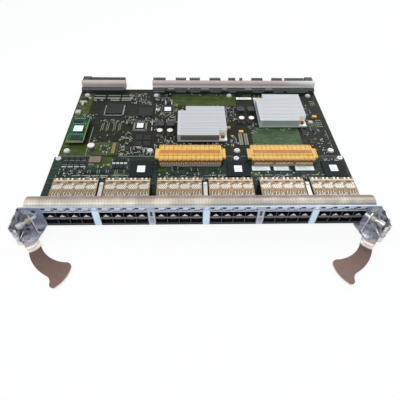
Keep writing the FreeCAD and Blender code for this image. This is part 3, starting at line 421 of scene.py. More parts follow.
# Blue-passivated zinc: pale blue grey with lines along the panel; the lip under the
# ports lies in their shade and reads black.
panel_paint = material("blue_zinc_sheet", "#b4bccb", 0.4, 0.5)
place, tone = sheet_grain(panel_paint, "#99a3b7", 9.0, 0.4, 0.4, (0.15, 1.0, 1.0))
part = add(panel_paint, "SeparateXYZ", {0: (place, "Object")})
lip_top, lip_middle, lip_half = 6.35, 5, 194.5
low = add(panel_paint, "Math", {"operation": "LESS_THAN", 0: (part, "Z"), 1: lip_top * mm})
inward = add(panel_paint, "Math", {"operation": "COMPARE", 0: (part, "X"), 1: lip_middle * mm,
                                   2: lip_half * mm})
lip = add(panel_paint, "Math", {"operation": "MULTIPLY", 0: (low, "Value"), 1: (inward, "Value")})
add(panel_paint, "Mix", {"data_type": "RGBA", 0: (lip, "Value"), 6: (tone, 2), 7: linear("#1d1f28")},
    [(2, "Base Color")])
dress(panel_paint, "face_panel")
port_pitch, cage_pitch, cages_middle = 14.25, 66.2, 5
columns = [cages_middle + (group - 2.5) * cage_pitch + (i - 1.5) * port_pitch
           for group in range(6) for i in range(4)]
film_pillars, status_pillars = (-127.4, 5.0, 137.4), (-61.2, 71.2)
# Blue-black ink, a little lighter where it is thin.
face_ink = material("face_ink", "#14152c", 0.5, Specular_IOR_Level=0.2)
sheet_grain(face_ink, "#2a2c48", 1.5, 0.4, 0.1)
marks = bmesh.new()
for x in columns:
    slab(marks, x - 7.0, x - 2.4, -0.06, 0.0, 27.2, 29.6)
    slab(marks, x - 3.4, x + 3.4, -0.04, 0.0, 24.0, 24.5)
    slab(marks, x + 4.2, x + 7.0, -0.06, 0.0, 25.4, 27.0)
    slab(marks, x - 6.9, x + 6.9, -0.05, 0.0, 22.85, 23.2)
for x in status_pillars:
    for dx0, dx1, z0, z1 in ((-1.9, -1.3, 3.4, 10.6), (1.3, 1.9, 3.4, 10.6), (-1.9, 1.9, 3.0, 3.6),
                             (-1.9, 1.9, 10.4, 11.0), (-0.6, 0.6, 6.2, 7.8)):
        slab(marks, x + dx0, x + dx1, -0.06, 0.0, z0, z1)
piece("face_marks", marks, face_ink)
# Almost white ink, brighter than the zinc beside it; the end hole's rim takes it as a painted highlight.
pale_ink_and_highlight = material("pale_face_ink_and_rim_highlight", "#f4f6fb", 0.45)
sheet_grain(pale_ink_and_highlight, "#e2e6f0", 3.0, 0.4, 0.1)
ovals = bmesh.new()
for x in columns:
    slab(ovals, x - 6.9, x + 6.9, -0.03, 0.0, 22.0, 22.7)
    slab(ovals, x - 1.9, x + 4.6, -0.05, 0.0, 28.0, 29.4)
piece("pale_face_marks", ovals, pale_ink_and_highlight)
# Printed film in pale cyan, the brightest patch of the face.
overlay = material("pale_cyan_overlay", "#e0f3fb", 0.4)
sheet_grain(overlay, "#d2e8f2", 5.0, 0.4, 0.1)
cyan_films = bmesh.new()
for x in film_pillars:
    slab(cyan_films, x - 3.9, x + 3.9, -0.05, 0.0, -2.3, 24.4)
    slab(cyan_films, x - 2.2, x + 2.2, -0.05, 0.0, 26.0, 30.2)
piece("pillar_overlays", cyan_films, overlay)
# Grey film that frames the status lens.
grey_overlay = material("grey_overlay", "#c3c8d2", 0.4)
sheet_grain(grey_overlay, "#b0b6c2", 5.0, 0.4, 0.1)
grey_films = bmesh.new()
for x in status_pillars:
    for dx0, dx1, z0, z1 in ((-3.9, -1.9, -2.3, 24.0), (1.9, 3.9, -2.3, 24.0), (-1.9, 1.9, -2.3, 3.0),
                             (-1.9, 1.9, 11.0, 13.3), (-1.3, 1.3, 3.6, 10.4), (-1.9, 1.9, 22.5, 24.0)):
        slab(grey_films, x + dx0, x + dx1, -0.04, 0.0, z0, z1)
piece("status_overlays", grey_films, grey_overlay)
# Painted shade: near-black sheets deep in an opening, which light hardly reaches.
gap_shade = material("painted_gap_shade", "#16161c", 0.6)
sheet_grain(gap_shade, "#25252e", 2.0, 0.4, 0.1)
# The countersunk hole at the panel's left end: painted shade, a dark sheet behind it, and a
# painted highlight on the lit edge of the countersink, an arc swept round the hole from a flattened wire.
hole_x, hole_z, hole_half = -199.8, 22.7, 3.0
rim_radius, rim_half, rim_arc = 3.9, 0.5, math.radians(190)
blind = bmesh.new()
slab(blind, hole_x - hole_half, hole_x + hole_half, 1.55, 1.95, hole_z - hole_half, hole_z + hole_half)
piece("end_hole_shade", blind, gap_shade)
rim = bmesh.new()
centre = Vector((hole_x, 0, hole_z)) * mm + Vector((0, face_y, top_z))
bmesh.ops.create_circle(rim, cap_ends=False, segments=4, radius=rim_half * mm,
                        matrix=Matrix.Translation(centre + Vector((rim_radius, 0, 0)) * mm)
                        @ Matrix.Diagonal((1, 0.2, 1, 1)))
bmesh.ops.spin(rim, geom=rim.verts[:] + rim.edges[:], cent=centre, axis=(0, 1, 0), dvec=(0, 0, 0),
               angle=rim_arc, steps=16)
bmesh.ops.rotate(rim, verts=rim.verts, cent=centre, matrix=Matrix.Rotation(math.radians(20), 3, "Y"))
bmesh.ops.holes_fill(rim, edges=rim.edges)
piece("end_hole_rim_highlight", rim, pale_ink_and_highlight)

# ---- Light pipes and lenses -------------------------------------------------
# Clear acrylic bars behind the panel with a nose in each window, and smoked
# lenses in two of the pillars.

# Clear acrylic: milky and uneven at its noses, with a wet-looking gloss.
clear_acrylic = material("clear_acrylic", "#c9d2dc", 0.15, IOR=1.49, Coat_Weight=0.3)
place = add(clear_acrylic, "TexCoord", {})
haze = add(clear_acrylic, "TexNoise", {"Vector": (place, "Object"), "Scale": every(4.0)})
add(clear_acrylic, "ValToRGB", {"Fac": (haze, "Fac"), "stops": [(0.35, "#aab2c4"), (0.65, "#eef0f8")]},
    [("Color", "Base Color")])
dress(clear_acrylic, "light_pipes")
# Smoked plastic: black until a lamp behind it is lit.
smoked_lens = material("smoked_lens", "#15171b", 0.2)
sheet_grain(smoked_lens, "#23262b", 3.0, 1.0, 0.1)
dress(smoked_lens, "status_lenses")

# ---- Shielding strip --------------------------------------------------------
# Finger stock on the top flange: tinned copper sheet arched over the fold and slit
# into springy fingers, which touch the next card and close the chassis to stray
# fields.

# Tinned copper: pink beige behind, a painted highlight bright on the crown, grey in front. The slits
# between fingers are drawn 3.6 mm apart, coarser than real, so that they show.
finger_stock = material("tinned_finger_stock", "#c9b7a8", 0.45, 0.35)
tone_and_crown_highlight = across(finger_stock, "Y", -148.2, -131.6,
              [(0.0, "#aeb1aa"), (0.1, "#939186"), (0.18, "#c9c2b7"), (0.3, "#c4bbb0"), (0.44, "#d3c4b4"),
               (0.58, "#b9a492"), (0.7, "#a08e81"), (1.0, "#9b897c")])
place = add(finger_stock, "TexCoord", {})
part = add(finger_stock, "SeparateXYZ", {0: (place, "Object")})
finger_pitch, slit_share, slit_end = 3.6, 0.14, -136.5
step = add(finger_stock, "Math", {"operation": "MULTIPLY", 0: (part, "X"), 1: every(finger_pitch)})
turn = add(finger_stock, "Math", {"operation": "FRACT", 0: (step, "Value")})
slit = add(finger_stock, "Math", {"operation": "LESS_THAN", 0: (turn, "Value"), 1: slit_share})
inner = add(finger_stock, "Math", {"operation": "LESS_THAN", 0: (part, "Y"), 1: slit_end * mm})
both = add(finger_stock, "Math", {"operation": "MULTIPLY", 0: (slit, "Value"), 1: (inner, "Value")})
faint = add(finger_stock, "Math", {"operation": "MULTIPLY", 0: (both, "Value"), 1: 0.35})
slits = add(finger_stock, "Mix", {"data_type": "RGBA", 0: (faint, "Value"), 6: (tone_and_crown_highlight, "Color"),
                                  7: linear("#5e544b")})
glints = add(finger_stock, "TexNoise", {"Vector": (place, "Object"), "Scale": every(22.0), "Detail": 2.0})
lift = add(finger_stock, "ValToRGB", {"Fac": (glints, "Fac"), "stops": [(0.4, "#d8d8dc"), (0.62, "#ffffff")]})
add(finger_stock, "Mix", {"data_type": "RGBA", "blend_type": "MULTIPLY", 0: 1.0, 6: (slits, 2),
                          7: (lift, "Color")}, [(2, "Base Color")])
add(finger_stock, "Bump", {"Height": (both, "Value"), "Strength": 0.5, "Distance": 0.2 * mm, "invert": True},
    [("Normal", "Normal")])
dress(finger_stock, "top_gasket")

# ---- Panel posts ------------------------------------------------------------
# Milled aluminium bars that tie the panel to the port board in the gaps between
# cages, each held by a screw from above.

# Milled and tumbled aluminium: pale, satin, with lines along the bar.
post_metal = material("satin_post_metal", "#cfc9c6", 0.4, 0.5)
sheet_grain(post_metal, "#b9b2b0", 6.0, 0.4, 0.3, (1.0, 0.2, 1.0))
dress(post_metal, "panel_posts")

# ---- Port cages -------------------------------------------------------------
# Pressed nickel-silver sheet, folded round two rows of four ports and pressed into
# the board. The top is pierced over every column by a cluster of vents, by slots
# and by spring tabs, and each upper port shows a latch tongue.

# Warm nickel silver with pink and green clouds, nearly black inside, where no light falls.
cage_sheet = material("cage_nickel_silver", "#ae9880", 0.5, 0.25)
place, tone = sheet_grain(cage_sheet, "#8a7259", 5.0, 0.6, 0.5)
part = add(cage_sheet, "SeparateXYZ", {0: (place, "Object")})
tint = add(cage_sheet, "TexNoise", {"Vector": (place, "Object"), "Scale": every(45.0), "Detail": 3.0})
hue = add(cage_sheet, "ValToRGB", {"Fac": (tint, "Fac"), "stops": [(0.38, "#dfe6d4"), (0.62, "#fff0e2")]})
tone = add(cage_sheet, "Mix", {"data_type": "RGBA", "blend_type": "MULTIPLY", 0: 1.0, 6: (tone, 2),
                               7: (hue, "Color")})
roof_under, mouth_end = 28.45, -149.4
below = add(cage_sheet, "Math", {"operation": "LESS_THAN", 0: (part, "Z"), 1: roof_under * mm})
behind = add(cage_sheet, "Math", {"operation": "GREATER_THAN", 0: (part, "Y"), 1: mouth_end * mm})
shade = add(cage_sheet, "Mix", {"data_type": "RGBA", 0: (behind, "Value"), 6: linear("#67656c"),
                                7: linear("#1d1b1f")})
add(cage_sheet, "Mix", {"data_type": "RGBA", 0: (below, "Value"), 6: (tone, 2), 7: (shade, 2)},
    [(2, "Base Color")])
dress(cage_sheet, *["port_cage_%d" % n for n in range(1, 7)])
# Glass-filled black plastic: the dark ground of every port.
port_moulding = material("black_port_moulding", "#0b0b0d", 0.5)
sheet_grain(port_moulding, "#141417", 2.0, 0.5, 0.3)
dress(port_moulding, "port_connectors")
roof, raised = 22.4, 22.45
vent_y, vent_pitch = 39.4, 2.3
vent_rows = ((-3.9, -1.3, 1.3, 3.9), (-5.2, -2.6, 0.0, 2.6, 5.2), (-3.9, -1.3, 1.3, 3.9))
# Painted highlights: cream white where the sheared and bent metal of vents, slots and tabs faces the light.
tab_highlight = material("spring_tab_highlight", "#f4efe4", 0.4, 0.2)
sheet_grain(tab_highlight, "#d8cfbd", 1.5, 0.4, 0.4)
# Holes in the sheet: dark brown, because they look into the cage.
pierced = material("pierced_shadow", "#3c3023", 0.6)
sheet_grain(pierced, "#5a4a35", 1.5, 0.4, 0.1)
tabs, holes = bmesh.new(), bmesh.new()
for x in columns:
    for row, places in enumerate(vent_rows):
        for dx in places:
            disc(tabs, x + dx, vent_y + vent_pitch * row, roof, raised, 1.5, 8)
            disc(holes, x + dx, vent_y + vent_pitch * row, raised, raised + 0.03, 0.7, 8)
    slab(holes, x - 2.6, x + 2.6, 48.4, 51.0, roof, raised)
    slab(tabs, x - 6.8, x + 6.8, 52.0, 53.0, roof, raised)
    slab(holes, x - 6.4, x - 3.4, 45.8, 47.0, roof, raised)
    slab(tabs, x + 3.4, x + 6.4, 45.8, 47.4, roof, raised)
    for dx in (-4.4, 0.8):
        slab(tabs, x + dx, x + dx + 2.4, 54.2, 57.2, roof, raised)
        slab(holes, x + dx + 2.6, x + dx + 4.4, 54.6, 57.2, roof, raised)
    for dx, y0, y1 in ((-6.4, 21, 30), (-4.6, 25, 36), (-2.8, 21, 31), (-1.0, 24, 35), (0.8, 20, 31),
                       (2.6, 26, 36), (4.4, 21, 33)):
        slab(holes, x + dx, x + dx + 0.9, y0, y1, roof, roof + 0.04)
        slab(tabs, x + dx + 1.0, x + dx + 1.6, y0, y1 - 3, roof, raised)
piece("cage_tab_highlights", tabs, tab_highlight)
piece("cage_piercings", holes, pierced)
# The latch tongue as a painted highlight: a white triangle in the dark port.
latch_highlight = material("latch_tongue_highlight", "#f0eff3", 0.35, 0.2)
sheet_grain(latch_highlight, "#d5d3da", 1.5, 0.4, 0.3)
latches, shades = bmesh.new(), bmesh.new()
for x in columns:
    slab(latches, x - 3.3, x + 3.3, 0.75, 0.95, 12.6, 13.8)
    slab(latches, x - 2.3, x + 2.3, 0.75, 0.95, 13.8, 14.8)
    slab(latches, x - 0.6, x + 0.6, 0.75, 0.95, 14.8, 16.4)
    # painted shade: dark sheets between the two ports, and deep in each
    slab(shades, x - 4.0, x + 4.0, 0.30, 0.45, 8.0, 12.0)
    slab(shades, x - 6.6, x + 6.6, 8.0, 8.2, 0.9, 9.4)
    slab(shades, x - 6.6, x + 6.6, 8.0, 8.2, 12.9, 22.0)
piece("port_latches", latches, latch_highlight)
piece("port_shades", shades, gap_shade)

# ---- Ejectors ---------------------------------------------------------------
# Each end has a folded pocket of bright zinc-plated sheet, a stamped steel lever
# riveted in it, and a knurled captive screw in an upright bracket that is riveted
# on the lever's hub.

# Bright zinc whose folds mirror their surroundings in hard light and dark patches.
pocket_plate = material("bright_zinc_pocket", "#dddce1", 0.3, 0.65)
place, tone = sheet_grain(pocket_plate, "#dcdadd", 6.0, 0.5, 1.0)
flash = add(pocket_plate, "TexNoise", {"Vector": (place, "Object"), "Scale": every(7.0), "Detail": 3.0})
spread = add(pocket_plate, "ValToRGB", {"Fac": (flash, "Fac"), "stops": [(0.4, "#77767c"), (0.48, "#d5d4d8"),
                                                                        (0.55, "#ffffff")]})
add(pocket_plate, "Mix", {"data_type": "RGBA", "blend_type": "MULTIPLY", 0: 1.0, 6: (tone, 2),
                          7: (spread, "Color")}, [(2, "Base Color")])
dress(pocket_plate, "ejector_bracket_left", "ejector_bracket_right")
# Clean bright zinc: a blue-grey mirror, slightly brushed.
bracket_plate = material("bracket_plate", "#c2c6cf", 0.25, 1.0)
sheet_grain(bracket_plate, "#9a9eaa", 5.0, 0.4, 0.6)
dress(bracket_plate, "screw_bracket_left", "screw_bracket_right")
# Dull brown-grey steel with a rubbed grain; the hub is pale, with two painted highlights where it
# steps down, and a painted highlight makes the sheared edge all round nearly white.
lever_steel = material("dull_lever_steel", "#7a6861", 0.45, 0.3)
place = add(lever_steel, "TexCoord", {})
folded = add(lever_steel, "VectorMath", {"operation": "ABSOLUTE", 0: (place, "Object")})
pivot_x, pivot_y, lever_reach = 206.9, 171.1, 80
level = add(lever_steel, "Mapping", {"Vector": (folded, "Vector"), "Scale": (1.0, 1.0, 0.0),
                                     "Location": (-pivot_x * mm, -pivot_y * mm, 0.0)})
away = add(lever_steel, "VectorMath", {"operation": "LENGTH", 0: (level, "Vector")})
reach = add(lever_steel, "MapRange", {"Value": (away, "Value"), "From Min": 0.0,
                                      "From Max": lever_reach * mm})
lever_tone_and_step_highlights = add(lever_steel, "ValToRGB", {"Fac": (reach, "Result"), "stops": [
    (0.0, "#b4aeae"), (0.16, "#b9afac"), (0.185, "#e9e3e0"), (0.208, "#a99d99"), (0.214, "#ebe5e2"),
    (0.25, "#ddd5d2"), (0.268, "#604b43"), (0.6, "#674f47"), (1.0, "#755f56")]})
normal = add(lever_steel, "NewGeometry", {})
facing = add(lever_steel, "SeparateXYZ", {0: (normal, "Normal")})
upright = add(lever_steel, "Math", {"operation": "LESS_THAN", 0: (facing, "Z"), 1: 0.4})
edge_highlight = add(lever_steel, "Mix", {"data_type": "RGBA", 0: (upright, "Value"), 6: (lever_tone_and_step_highlights, "Color"),
                                 7: linear("#f1e8e2")})
brushed = add(lever_steel, "Mapping", {"Vector": (place, "Object"), "Scale": (1.0, 0.4, 1.0)})
rub = add(lever_steel, "TexNoise", {"Vector": (brushed, "Vector"), "Scale": every(3.0), "Detail": 3.0})
lift = add(lever_steel, "ValToRGB", {"Fac": (rub, "Fac"), "stops": [(0.35, "#f2efec"), (0.65, "#ffffff")]})
add(lever_steel, "Mix", {"data_type": "RGBA", "blend_type": "MULTIPLY", 0: 1.0, 6: (edge_highlight, 2),
                         7: (lift, "Color")}, [(2, "Base Color")])
dress(lever_steel, "lever_left", "lever_right")
# Turned steel: bright rings broken by the dark of knurl and slot.
captive_steel = material("captive_screw_steel", "#c3c4c6", 0.3, 0.8)
sheet_grain(captive_steel, "#8d8f94", 1.6, 0.4, 0.6)
dress(captive_steel, "pivot_rivets", "lever_rivet_left", "lever_rivet_right", "screw_washer_left",
      "screw_washer_right", "captive_screw_left", "captive_screw_right")
# Olive passivation: a greenish brass tone between the greys.
ferrule_metal = material("olive_passivated_ferrule", "#a3a284", 0.4, 0.5)
sheet_grain(ferrule_metal, "#7d7c60", 2.0, 0.4, 0.4)
dress(ferrule_metal, "screw_ferrule_left", "screw_ferrule_right")

# ---- Heatsinks --------------------------------------------------------------
# Folded aluminium fins bonded on a plate, clear anodised. Each sink is pressed on its
# chip by two brass pins with coil springs, which stand in notches at two corners.

sinks = (("heatsink_a", 4.7, 193.7, "#716860"), ("heatsink_b", 135.4, 230.0, "#a3b8ac"))
sink_half, notch = 38, 25
for name, middle, _, fin_gap_reflection in sinks:
    # Clear anodised aluminium: a white sheet of fins from above, painted light at both ends and a
    # painted highlight on the base inside the notch, and between the fins in front a painted reflection
    # of what they look on, brown board or green copper, lighter towards the top.
    sink_aluminium = material("anodised_" + name, "#c9ccd0", 0.5, 0.15)
    painted_height_light = across(sink_aluminium, "Z", 8.3, 21.9, [(0.0, "#9aa0a3"), (0.225, "#eceef0"), (0.235, fin_gap_reflection),
                                                      (0.75, fin_gap_reflection), (0.9, "#a9adad"), (0.98, "#c3c5c7")])
    place = add(sink_aluminium, "NewGeometry", {})
    facing = add(sink_aluminium, "SeparateXYZ", {0: (place, "Normal")})
    aside = add(sink_aluminium, "Math", {"operation": "ABSOLUTE", 0: (facing, "X")})
    keep = add(sink_aluminium, "Mix", {"data_type": "RGBA", 0: (aside, "Value"), 6: (painted_height_light, "Color"),
                                       7: linear("#cdd1d3")})
    left_end_light = across(sink_aluminium, "X", middle - sink_half, middle + sink_half,
                    [(0.0, "#ffffff"), (0.05, "#ffffff"), (0.07, "#000000"), (1.0, "#000000")])
    keep = add(sink_aluminium, "Mix", {"data_type": "RGBA", 0: (left_end_light, "Color"), 6: (keep, 2),
                                       7: linear("#c6cbcd")})
    place = add(sink_aluminium, "TexCoord", {})
    drawn = add(sink_aluminium, "Mapping", {"Vector": (place, "Object"), "Scale": (0.03, 1.0, 1.0)})
    ribs = add(sink_aluminium, "TexNoise", {"Vector": (drawn, "Vector"), "Scale": every(2.5), "Detail": 1.0})
    lift = add(sink_aluminium, "ValToRGB", {"Fac": (ribs, "Fac"),
                                            "stops": [(0.38, "#f7f8f9"), (0.6, "#ffffff")]})
    add(sink_aluminium, "Mix", {"data_type": "RGBA", "blend_type": "MULTIPLY", 0: 1.0, 6: (keep, 2),
                                7: (lift, "Color")}, [(2, "Base Color")])
    dress(sink_aluminium, name)
cheeks = bmesh.new()
cheek_low, cheek_high = 4.9, 15.2
for _, x, y, _ in sinks:
    slab(cheeks, x + notch + 0.3, x + notch + 0.5, y - sink_half + 0.1, y - notch, cheek_low, cheek_high)
    slab(cheeks, x + notch + 0.5, x + sink_half - 0.1, y - notch - 0.2, y - notch, cheek_low, cheek_high)
# The cut aluminium walls inside the notch, painted white as a highlight.
notch_wall_highlight = material("notch_wall_painted_highlight", "#fdfefe", 0.5)
sheet_grain(notch_wall_highlight, "#f2f4f5", 3.0, 0.4, 0.2)
piece("notch_cheeks", cheeks, notch_wall_highlight)
# Brass: small gold caps on the pins.
brass = material("pin_brass", "#c59a45", 0.3, 0.8)
sheet_grain(brass, "#a87e30", 2.0, 0.3, 0.3)
dress(brass, "push_pins")
# Copper-coloured spring wire: brown with bright ridges.
spring_copper = material("spring_copper", "#6d4426", 0.35, 0.6)
sheet_grain(spring_copper, "#8a5a32", 1.0, 0.3, 0.3)
dress(spring_copper, "pin_springs")

# ---- Bridge connectors ------------------------------------------------------
# Amber covers clipped on beige sockets, which carry the signals over the seam of
# the boards. A darker band runs along the middle of each cover, and the sockets'
# wafers show as teeth along both edges.

bridges, cell, band_half = (-13.8, 120.2), 6.5, 43.2
# Translucent amber: yellow cells, browner between them, with pale patches of painted highlight, paler and
# greyer at both rims.
amber_moulding = material("amber_moulding", "#dcae50", 0.45, Specular_IOR_Level=0.3)
place = add(amber_moulding, "TexCoord", {})
part = add(amber_moulding, "SeparateXYZ", {0: (place, "Object")})
step = add(amber_moulding, "Math", {"operation": "MULTIPLY", 0: (part, "X"), 1: every(cell)})
turn = add(amber_moulding, "Math", {"operation": "FRACT", 0: (step, "Value")})
apart = add(amber_moulding, "Math", {"operation": "LESS_THAN", 0: (turn, "Value"), 1: 0.16})
half = add(amber_moulding, "Math", {"operation": "MULTIPLY", 0: (apart, "Value"), 1: 0.75})
cells = add(amber_moulding, "Mix", {"data_type": "RGBA", 0: (half, "Value"), 6: linear("#deb04e"),
                                    7: linear("#a8722c")})
highlight_patches = add(amber_moulding, "TexNoise", {"Vector": (place, "Object"), "Scale": every(5.0), "Detail": 2.0})
lift = add(amber_moulding, "ValToRGB", {"Fac": (highlight_patches, "Fac"),
                                        "stops": [(0.38, "#000000"), (0.62, "#8a8a8a")]})
pale = add(amber_moulding, "Mix", {"data_type": "RGBA", 0: (lift, "Color"), 6: (cells, 2),
                                   7: linear("#e8d8a8")})
rims = across(amber_moulding, "Y", -46.7, -11.7, [(0.0, "#b09c84"), (0.1, "#dccfc0"), (0.17, "#ffffff"),
                                                 (0.86, "#ffffff"), (0.95, "#e9dfcf"), (1.0, "#c0ae98")])
add(amber_moulding, "Mix", {"data_type": "RGBA", "blend_type": "MULTIPLY", 0: 1.0, 6: (pale, 2),
                            7: (rims, "Color")}, [(2, "Base Color")])
dress(amber_moulding, "bridge_cover_a", "bridge_cover_b")
# Filled beige plastic, matt and a little mottled.
beige_moulding = material("beige_moulding", "#8f7d62", 0.5)
sheet_grain(beige_moulding, "#6f5f48", 4.0, 0.6, 0.3)
dress(beige_moulding, "bridge_sockets")
# A rust-orange stripe along the middle of each cover.
band_tone = material("rust_orange_band", "#a8622a", 0.45, Specular_IOR_Level=0.3)
sheet_grain(band_tone, "#c9884f", 14.0, 0.6, 0.2)
plates("bridge_bands", band_tone,
       [(x - band_half, x + band_half, 117.0, 124.8) for x in bridges], 11.9, 11.95)
# Pale ends of the wafers, which stand out as a row of teeth.
skirt_tone = material("pale_skirt_moulding", "#d3c8b8", 0.5)
sheet_grain(skirt_tone, "#b8aa96", 4.0, 0.4, 0.2)
tooth_front, tooth_back, tooth_half = 102.5, 105.2, 1.1
teeth = [bridges[0] + cell / 2 * i for i in range(-13, 14)]
skirts = [(x - tooth_half, x + tooth_half, tooth_front, tooth_back) for x in teeth]
skirts += [(x0, x1, tooth_front, tooth_back)
           for x0, x1 in ((bridges[1] - 42, 105.0), (108.2, 134.0), (137.2, 162.2))]
plates("bridge_skirts", skirt_tone, skirts, 3.6, 6.2)
# The socket's foot in the shade of its teeth: khaki brown.
foot_tone = material("brown_foot_moulding", "#8f866f", 0.5)
sheet_grain(foot_tone, "#a89d86", 4.0, 0.4, 0.2)
plates("bridge_feet", foot_tone, [(x - 42.5, x + 42.5, 101.9, tooth_back) for x in bridges], 0.2, 2.6)
scallops = [(x + cell * i - 2.2, x + cell * i + 2.2, 138.5, 140.2) for x in bridges for i in range(-6, 7)]
plates("bridge_scallops", skirt_tone, scallops, 4.0, 8.6)

# ---- Backplane connectors ---------------------------------------------------
# Black moulded blocks of many wafers pressed into the rear edge, tied together by
# two extruded aluminium bars. A painted rail with tinned clips runs along their
# front.

# Black plastic gone slightly grey, as filled plastic does.
black_moulding = material("black_connector_moulding", "#1b1c20", 0.45)
sheet_grain(black_moulding, "#2c2d33", 4.0, 0.6, 0.3)
dress(black_moulding, "backplane_connectors", "connector_fillers", "guide_blocks", "card_sockets")
# Extruded aluminium with a matt finish: warm pale grey, lines along the bar.
bar_aluminium = material("satin_bar_aluminium", "#c2b7b1", 0.6, 0.1)
sheet_grain(bar_aluminium, "#a89c99", 30.0, 0.5, 0.5, (0.05, 1.0, 1.0))
dress(bar_aluminium, "rear_bar_left")
# The same bar; its low front edge catches the light, and its right end is whiter.
long_bar = material("long_bar_aluminium", "#b5a9a6", 0.6, 0.1)
place, tone = sheet_grain(long_bar, "#a89c99", 30.0, 0.5, 0.5, (0.05, 1.0, 1.0))
edge = across(long_bar, "Z", 15.5, 26.0,
              [(0.0, "#ffffff"), (0.36, "#e8e8e8"), (0.5, "#000000"), (1.0, "#000000")])
lit = add(long_bar, "Mix", {"data_type": "RGBA", 0: (edge, "Color"), 6: (tone, 2), 7: linear("#efe6e2")})
end = across(long_bar, "X", 120.0, 210.0,
             [(0.0, "#000000"), (0.35, "#000000"), (0.5, "#9a9a9a"), (1.0, "#ffffff")])
add(long_bar, "Mix", {"data_type": "RGBA", 0: (end, "Color"), 6: (lit, 2), 7: linear("#cfd3cf")},
    [(2, "Base Color")])
dress(long_bar, "rear_bar_right")
# Dusty bloom on the moulding: a flat grey blue.
bloom = material("connector_front", "#858c90", 0.5)
sheet_grain(bloom, "#585e60", 3.0, 0.5, 0.3)
blocks = ((-80, -58), (-39.5, -20.5), (-14.5, 4.5), (22, 42), (56.5, 69), (99, 119), (136, 155), (160, 194.5))
blocks_front = 293.0
plates("connector_fronts", bloom,
       [(x0 + 0.5, x1 - 0.5, blocks_front - 0.3, blocks_front) for x0, x1 in blocks], 3.4, 5.6)
# Painted rail in the bar's shade: grey green.
rail_tone = material("grey_green_rail", "#667069", 0.5)
sheet_grain(rail_tone, "#4c5456", 6.0, 0.4, 0.2)
rail_top = 9.4
plates("connector_rails", rail_tone,
       [(x0, x1, blocks_front - 0.6, blocks_front) for x0, x1 in ((-56, 56), (56, 198))], 6.0, rail_top)
plates("rail_clips", tinned,
       [(x0, x1, 292.6, 293.6)
        for x0, x1 in ((-52, -42), (-18, -15), (6, 20), (44, 52), (84, 96), (121, 133))],
       rail_top, rail_top + 1.0)

# ---- Shield, capacitors, header and plug-in card ----------------------------
# A tinned shield can, aluminium can capacitors, dipped tantalum capacitors and a
# gilt pin header, all soldered to the boards, and a green card with a memory chip
# that is plugged into two sockets.

# Tin gone dull: warm grey brown.
shield_lid = material("dull_shield_lid", "#857570", 0.45, 0.4)
sheet_grain(shield_lid, "#75655f", 5.0, 0.4, 0.3)
dress(shield_lid, "shield_can")
# Aluminium can: dark flank, and a pale pink-white top.
can_aluminium = material("capacitor_aluminium", "#8d8784", 0.35, 0.6)
across(can_aluminium, "Z", 13.5, 16.6, [(0.0, "#77716e"), (0.25, "#8d8784"), (0.3, "#e6dfda"),
                                        (1.0, "#e9e3de")], [("Color", "Base Color")])
dress(can_aluminium, "capacitors")
# Dipped epoxy: clear orange blocks, the strongest spots of colour.
orange_epoxy = material("orange_epoxy", "#dd9a38", 0.45)
sheet_grain(orange_epoxy, "#ecba68", 2.0, 0.4, 0.3)
dress(orange_epoxy, "tantalum_capacitors")
# Rows of gilt pins that merge into a dull gold.
gilt = material("gilt_contacts", "#8f8256", 0.4, 0.4)
sheet_grain(gilt, "#6e6544", 2.0, 0.5, 0.3)
dress(gilt, "pin_header")
# Brighter green mask than the main board's, so that the card stands out.
green_mask = mask_material("green_card_mask", "#0b4330", "#115038", "#176046", "#8fa37c", 0.4)
dress(green_mask, "plug_in_card")
card_z = 7.2
# Gilt edge contacts: a thin dull-gold line.
card_gold = material("card_edge_gold", "#a59a55", 0.4, 0.4)
sheet_grain(card_gold, "#8c8142", 2.0, 0.4, 0.2)
plates("card_edges", card_gold, [(-199.8, -174.2, 148.2, 149.6), (-175.2, -174.2, 149.6, 211),
                                 (-199.8, -199.2, 149.6, 165)], card_z, card_z + 0.05)
plates("card_chips", chip_epoxy, [(-194, -183, 153, 163), (-181, -176.5, 152, 158), (-181, -176.5, 204, 209),
                                  (-198, -184, 198, 204)], card_z, card_z + 1.0)
plates("card_parts", tinned, [(-198 + 3.1 * i, -196.6 + 3.1 * i, y, y + 0.8) for i in range(7)
                              for y in (150.6, 167, 193.5, 207)], card_z, card_z + 0.5)

# ---- Labels -----------------------------------------------------------------
# Die-cut paper labels stuck on the chips, the boards and the card. Faint grey rules
# stand in for their print.

# Uncoated paper, almost white.
paper = material("label_paper", "#fafcfd", 0.7)
sheet_grain(paper, "#eef2f5", 6.0, 0.3, 0.1)
# Rules in soft grey ink, in place of text.
faint_print = material("label_print", "#a9afb6", 0.7)
sheet_grain(faint_print, "#949aa2", 2.0, 0.3, 0.1)
rule_gap, rule_reach, rule_step, rule_half = 0.26, 0.36, 0.12, 0.3
papers, prints = bmesh.new(), bmesh.new()
# each (x, y, width, length, height of what it is stuck on)
for x, y, w, l, z in ((-94, 197, 10, 12, 2.0), (-51.5, 243.6, 11, 11, 1.6), (-187, 180, 14, 14, 8.8),
                      (-83.5, 96, 11, 13, 1.8), (54, 96, 11, 13, 1.8), (192, 97, 11, 13, 1.8),
                      (-68.5, 244, 6, 4.5, 0.0), (81.5, 278.5, 27, 6.5, 0.0), (102, 278, 8, 5, 0.0),
                      (87.5, 98.5, 26, 9, 0.0), (119, 98.5, 26.5, 9, 0.0), (150.5, 98.5, 27, 9, 0.0)):
    slab(papers, x - w / 2, x + w / 2, y - l / 2, y + l / 2, z, z + 0.1)
    for i in range(3):
        row = y + (i - 1) * l * rule_gap
        slab(prints, x - w * rule_reach, x + w * (rule_reach - rule_step * i), row - rule_half,
             row + rule_half, z + 0.1, z + 0.12)
piece("labels", papers, paper)
piece("label_rules", prints, faint_print)

# ---- Edge connectors --------------------------------------------------------
# Small moulded board connectors for test and power leads, soldered mostly along
# the left edge.

